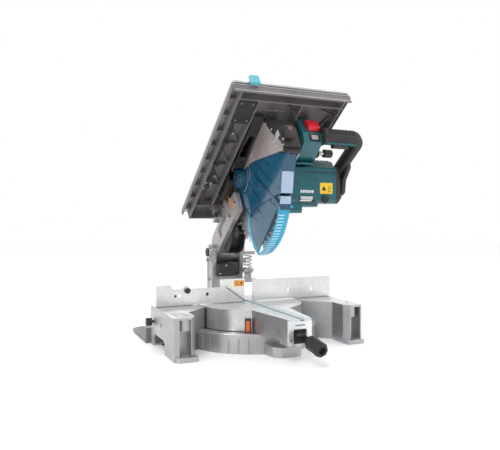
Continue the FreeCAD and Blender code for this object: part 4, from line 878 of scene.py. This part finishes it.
def motor_pieces():
    dress_all(3, motor_housing=0.0030, motor_cap=0.0024)
    dressed("gear_case", 0.0012, TEAL_SHADED)
    dressed("brush_caps", 0.0007)
    for name in ("stator", "armature"):
        keep_node(name)
    piece("motor_ridge", plate("Y", 121, 489, 226, 493, MOTOR_FACE - 1.2, MOTOR_FACE + 1, 1),
          "motor_housing", TEAL_SHADED, 0.0006)
    piece("motor_seam", plate("Y", 66.5, 455.2, 96, 456.2, MOTOR_FACE - 0.15, MOTOR_FACE + 1), "motor_housing", PRINT_AND_SHADE)
    piece("motor_seam_screw", screws([(92, MOTOR_FACE, 457)], FRONT, 2.4, 0.8), "motor_housing", BLACK)
    badge = slab("Y", [(95, 405), (143, 405), (148, 423), (99, 423)], MOTOR_FACE - 0.3, MOTOR_FACE + 0.2)
    piece("name_plate", badge, "motor_housing", PRINT_AND_SHADE)
    bars = [slab("Y", [(101 + 7.4 * step, 432), (106 + 7.4 * step, 432), (108 + 7.4 * step, 440),
                       (103 + 7.4 * step, 440)], MOTOR_FACE - 0.3, MOTOR_FACE + 0.2) for step in range(6)]
    bars += [slab("Y", [(left, low), (right, low), (right + 0.8, low + 3.4), (left + 0.8, low + 3.4)], MOTOR_FACE - 0.4,
                  MOTOR_FACE - 0.28) for low, left, right in ((408, 99, 137), (413, 103, 141), (418, 101, 142))]
    piece("name_plate_print", bars, "motor_housing", LABEL_WHITE)
    piece("motor_label", plate("Y", 166, 430, 208, 462, MOTOR_FACE - 0.3, MOTOR_FACE + 0.2, 1), "motor_housing",
          LABEL_YELLOW)
    marks = [slab("Y", [(171, 440), (187, 440), (179, 454)], MOTOR_FACE - 0.4, MOTOR_FACE - 0.28)]
    marks += [plate("Y", 192, low, right, low + 1.8, MOTOR_FACE - 0.4, MOTOR_FACE - 0.28)
              for low, right in ((436, 203), (441, 200), (446, 204), (451, 199))]
    piece("motor_label_print", marks, "motor_housing", PRINT_AND_SHADE)
    vents = [plate("X", -96, 524, -72, 531.2, place - 5.4, place - 0.6) for place in range(151, 218, 11)]
    piece("motor_fins", vents, "motor_housing", TEAL_SHADED, 0.0008)
    piece("brush_rings", turning([(0, 0), (0, 13), (1.4, 12.4), (1.4, 0)], (183, MOTOR_FACE + 0.2, 415), FRONT),
          "motor_housing", TEAL_SHADED, 0.0004)
    corners = [(72, MOTOR_FACE, 415), (72, MOTOR_FACE, 500), (150, MOTOR_FACE, 408)]
    piece("motor_screws", screws(corners, FRONT, 3.2, 0.8), "motor_housing", BLACK)
    piece("motor_cap_screws", screws([(245.6, -118, 420), (245.6, -46, 420), (245.6, -46, 494)], RIGHT, 3.4, 1.0),
          "motor_cap", ZINC)


def neck_pieces():
    dressed("switch_box", 0.0022, segments=3)
    top = [(-163, 634.6), (-124.4, 604.6), (-125.6, 603), (-164.4, 633)]
    piece("neck_top_plate", slab("X", [(point[0] + 0.9, point[1] + 1.2) for point in top], 68, 116), "switch_box",
          TEAL_SHADED, 0.0004)
    flap = [on_face(*SLOPE, down, out) + (curve,) for down, out, curve in
            ((20, 0.4, 0), (19, 9, 2), (26, 13, 4), (36, 15.5, 5), (52, 12, 5), (58, 5, 2), (58, 0.4, 0))]
    item = piece("power_flap_body", slab("X", flap, 84, 118), "power_flap", RED, 0.0022, segments=4)
    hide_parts("power_flap")
    emboss = on_neck(*SLOPE, 30, 44, 92, 108, 9, 15.4)
    piece("power_flap_mark", emboss, "power_flap", RED, 0.0015, segments=3)
    piece("switch_bezel", on_neck(*UPRIGHT, 2.5, 26, 82, 115, -0.4, 0.4), "switch_box", BLACK, 0.0003)
    piece("flap_bezel", on_neck(*SLOPE, 19, 61, 81, 119, -0.4, 0.3), "switch_box", TEAL_SHADED, 0.0003)
    dressed("start_switch", 0.0008)
    piece("start_switch_label", on_neck(*UPRIGHT, 8, 21, 88, 108, 2.9, 3.15), "start_switch", LABEL_GREY)
    marks = [on_neck(*UPRIGHT, 12, 13.4, 91, 98, 3.1, 3.25), on_neck(*UPRIGHT, 12, 17, 101, 102.4, 3.1, 3.25)]
    piece("start_switch_mark", marks, "start_switch", RED)
    cover = [(-166, 622, 4), (-128, 596, 8), (-92, 566, 8), (-78, 520, 6), (-166, 520, 6), (-208, 562, 6),
             (-202, 586, 4)]
    piece("neck_side_cover", slab("X", cover, 61.8, 64.2), "switch_box", BLACK, 0.0012)
    places = [(62, -180, 586), (62, -150, 532), (62, -100, 532), (62, -150, 602)]
    piece("neck_screws", screws(places, LEFT, 3.4, 1.4), "switch_box", BLACK)
    piece("neck_seam", plate("Z", 63.8, -188, 120.2, -70, 511.4, 512.4), "switch_box", TEAL_SHADED)
    gland = turning([(-3, 0), (-3, 6), (1.5, 6), (1.5, 0)], (62.6, -309, 315.6), (-1, 0.0, 0.05), 24)
    piece("cable_gland", lifted(gland), "switch_box", BLACK, 0.0006)


def handle_pieces():
    down = Vector((0, 0.804, -0.595))
    normal = Vector((1, 0, 0)).cross(down)
    path = bent([(121, -216, 582), (243, -216, 582), Vector((243, -216, 582)) + down * 138], 30, 14)
    count = len(path) - 1
    sections = []
    for index in range(len(path)):
        share = min(1.0, max(0.0, (index - 1) / (count - 2)))
        sections.append((19.5, 18.5 - 4.5 * share))
    item = piece("handle_loop", swept(path, sections, normal), "d_handle", RUBBER, 0.0, smooth=50)
    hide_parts("d_handle")
    cheek = [(-156, 506), (-131, 470, 12), (-126, 432, 16), (-96, 420, 16), (-62, 446, 20), (-60, 490, 20),
             (-84, 509), (-116, 536, 6), (-152, 534, 6)]
    piece("handle_cheek", slab("X", cheek, 243, 258), "d_handle", BLACK, 0.005, segments=4)
    piece("handle_cheek_screws", screws([(257.4, -80, 480), (257.4, -100, 436)], RIGHT, 3.6, 0.5), "d_handle", ZINC)
    flange = [(-236, 560, 12), (-196, 556, 8), (-182, 566, 6), (-186, 598, 8), (-200, 606, 12), (-236, 606, 14)]
    piece("handle_flange", slab("X", flange, 120, 128), "d_handle", BLACK, 0.003, segments=3)
    trim = [(130, -6, 3), (226, -6, 4), (226, -2, 3), (130, 4, 3)]
    under = slab("Y", [(x, z + 566, r) for x, z, r in trim], -226, -206)
    piece("handle_trim", under, "d_handle", TEAL, 0.0015)
    ribs = [ring("X", (-216, 582), 18.6, 20.1, place, place + 2.4, 32) for place in range(140, 214, 12)]
    piece("handle_grip_ribs", ribs, "d_handle", RUBBER, 0.0005)
    dressed("trigger", 0.0012)
    rod = turning([(0.2, 0), (0.2, 9), (3, 9), (4, 6), (58, 6), (58, 0)], LIFT_KNOB, RIGHT)
    item = piece("lift_knob_rod", rod, "lift_knob", STEEL, 0.0004)
    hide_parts("lift_knob")
    knob = turning([(56, 0), (56, 9), (58, 11.8), (82, 11.8), (84, 10.4), (84, 0)], LIFT_KNOB, RIGHT, 18)
    piece("lift_knob_grip", knob, "lift_knob", BLACK, 0.0008, smooth=20)
    piece("lift_knob_disc", turning([(34, 0), (34, 14), (37, 14), (37, 0)], LIFT_KNOB, RIGHT), "lift_knob",
          BLACK, 0.0006)


# ---- the upper table

def table_pieces():
    dress_all(table_frame=0.0007, table_top=0.0009, table_insert=0.0004, cable_cover=0.0008)
    dressed("rip_fence", 0.0014, segments=3)
    spots = [(-114, -370, 331), (-82, -370, 331), (-114, -314, 329), (-82, -314, 329)]
    piece("cable_cover_screws", lifted(screws(spots, DOWN, 2.2, 1.0)), "cable_cover", ZINC)
    # Dark sheets under the table, in the darkened table colour: painted shade.
    under = [lifted(box(low + (359.9,), high + (361.3,))) for low, high in
             (((-124, -381), (-30.6, 59)), ((34.6, -381), (178, 59)), ((-30.6, -381), (34.6, -331)),
              ((-29.4, -329), (-5, 51)), ((5, -329), (33.4, 51)))]
    piece("table_underside", under, "table_frame", TABLE_SHADED)
    boss = lifted(turning([(0, 0), (0, 10), (13, 9), (13, 0)], CABLE_EXIT, DOWN, 28))
    piece("cable_boss", boss, "table_frame", TABLE_SHADED, 0.001)
    grommet = lifted(turning([(12.6, 0), (12.6, 8), (15.5, 8), (16.4, 6.6), (16.4, 0)], CABLE_EXIT, DOWN, 28))
    piece("cable_grommet", grommet, "table_frame", BLACK, 0.0006)
    clips = [lifted(box((-122.6, place, 331), (-104, place + 9, 334.4))) for place in (-228, -136)]
    piece("cable_clips", clips, "table_frame", BLACK, 0.0008)
    knob = lifted(turning([(0, 0), (0, 9), (14, 9), (16, 7.5), (16, 0)], (-112, -34, 345), DOWN, 20))
    piece("table_clamp_knob", knob, "table_frame", BLACK, 0.0008)
    support = lifted(box((-122, -50, 336), (-98, -18, 352)))
    piece("table_clamp_block", support, "table_frame", ARM_GREY, 0.0012)
    front = [lifted(slab("Y", [(-145, 334.5), (198, 334.5), (198, 337, 1), (-145, 337, 1)], -411.8, -409.6)),
             lifted(slab("Y", [(-145, 355), (198, 355), (198, 357, 1), (-145, 357, 1)], -411.8, -409.6))]
    piece("table_front_lips", front, "table_frame", TABLE_FACE, 0.0006)
    bosses = [lifted(turning([(0, 0), (0, 6), (18, 5.4), (18, 0)], (x, y, 361), DOWN, 20)) for x, y in BOSSES]
    piece("table_bosses", bosses, "table_frame", TABLE_SHADED, 0.0006)
    heads = lifted(screws([(x, y, 343.4) for x, y in BOSSES], DOWN, 3.4, 1.4))
    piece("table_boss_screws", heads, "table_frame", ZINC)
    grooves = [lifted(box((x, -410, 367.02), (x + 1.2, 128, 367.1))) for x in (-60, 62)]
    piece("table_top_lines", grooves, "table_top", PRINT_AND_SHADE)
    dressed("top_cover", 0.0006)


# ---- cables

def cable(name, route, node, radius):
    """A smooth cable through given places, which stands for its CAD node."""
    data = bpy.data.curves.new(name, "CURVE")
    data.dimensions = "3D"
    data.bevel_depth = radius
    data.bevel_resolution = 5
    data.resolution_u = 10
    data.use_fill_caps = True
    line = data.splines.new("NURBS")
    line.points.add(len(route) - 1)
    for point, place in zip(line.points, route):
        point.co = tuple(level(*[value * MM for value in place])) + (1.0,)
    line.order_u = 3
    line.use_endpoint_u = True
    item = new_object(name, data, node)
    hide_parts(node)


def cables():
    cable("underside_cable_run",
          [(-112, -303.8, 337.2), (-110, -256, 336.6), (-112, -206, 337.2), (-114, -156, 336.4), (-113, -106, 337.3),
           (-110, -56, 336.5), (-112, -12, 337.2), (-108, 22, 337), (-94, 40, 340), (-76, 38, 347)],
          "underside_cable", 0.003)
    cable("switch_cable_run",
          [(28, -372, 360.8), (28.4, -371, 349), (31, -366, 338), (37, -356, 329), (46, -342, 322),
           (56, -324, 317.5), (63.9, -308, 315.5)], "switch_cable", 0.0025)


# ---- the whole scene

def plain_nodes():
    """Every CAD node that no piece replaces shows with its slot's material."""
    for node, item in NODES.items():
        if not item.hide_render:
            keep_node(node)


camera()
studio()
for make in (base_pieces, fence_pieces, turntable_pieces, bracket_pieces, arm_pieces, case_pieces,
             clear_guard_pieces, lower_guard_pieces, blade_pieces, motor_pieces, neck_pieces, handle_pieces,
             table_pieces, cables):
    make()
plain_nodes()
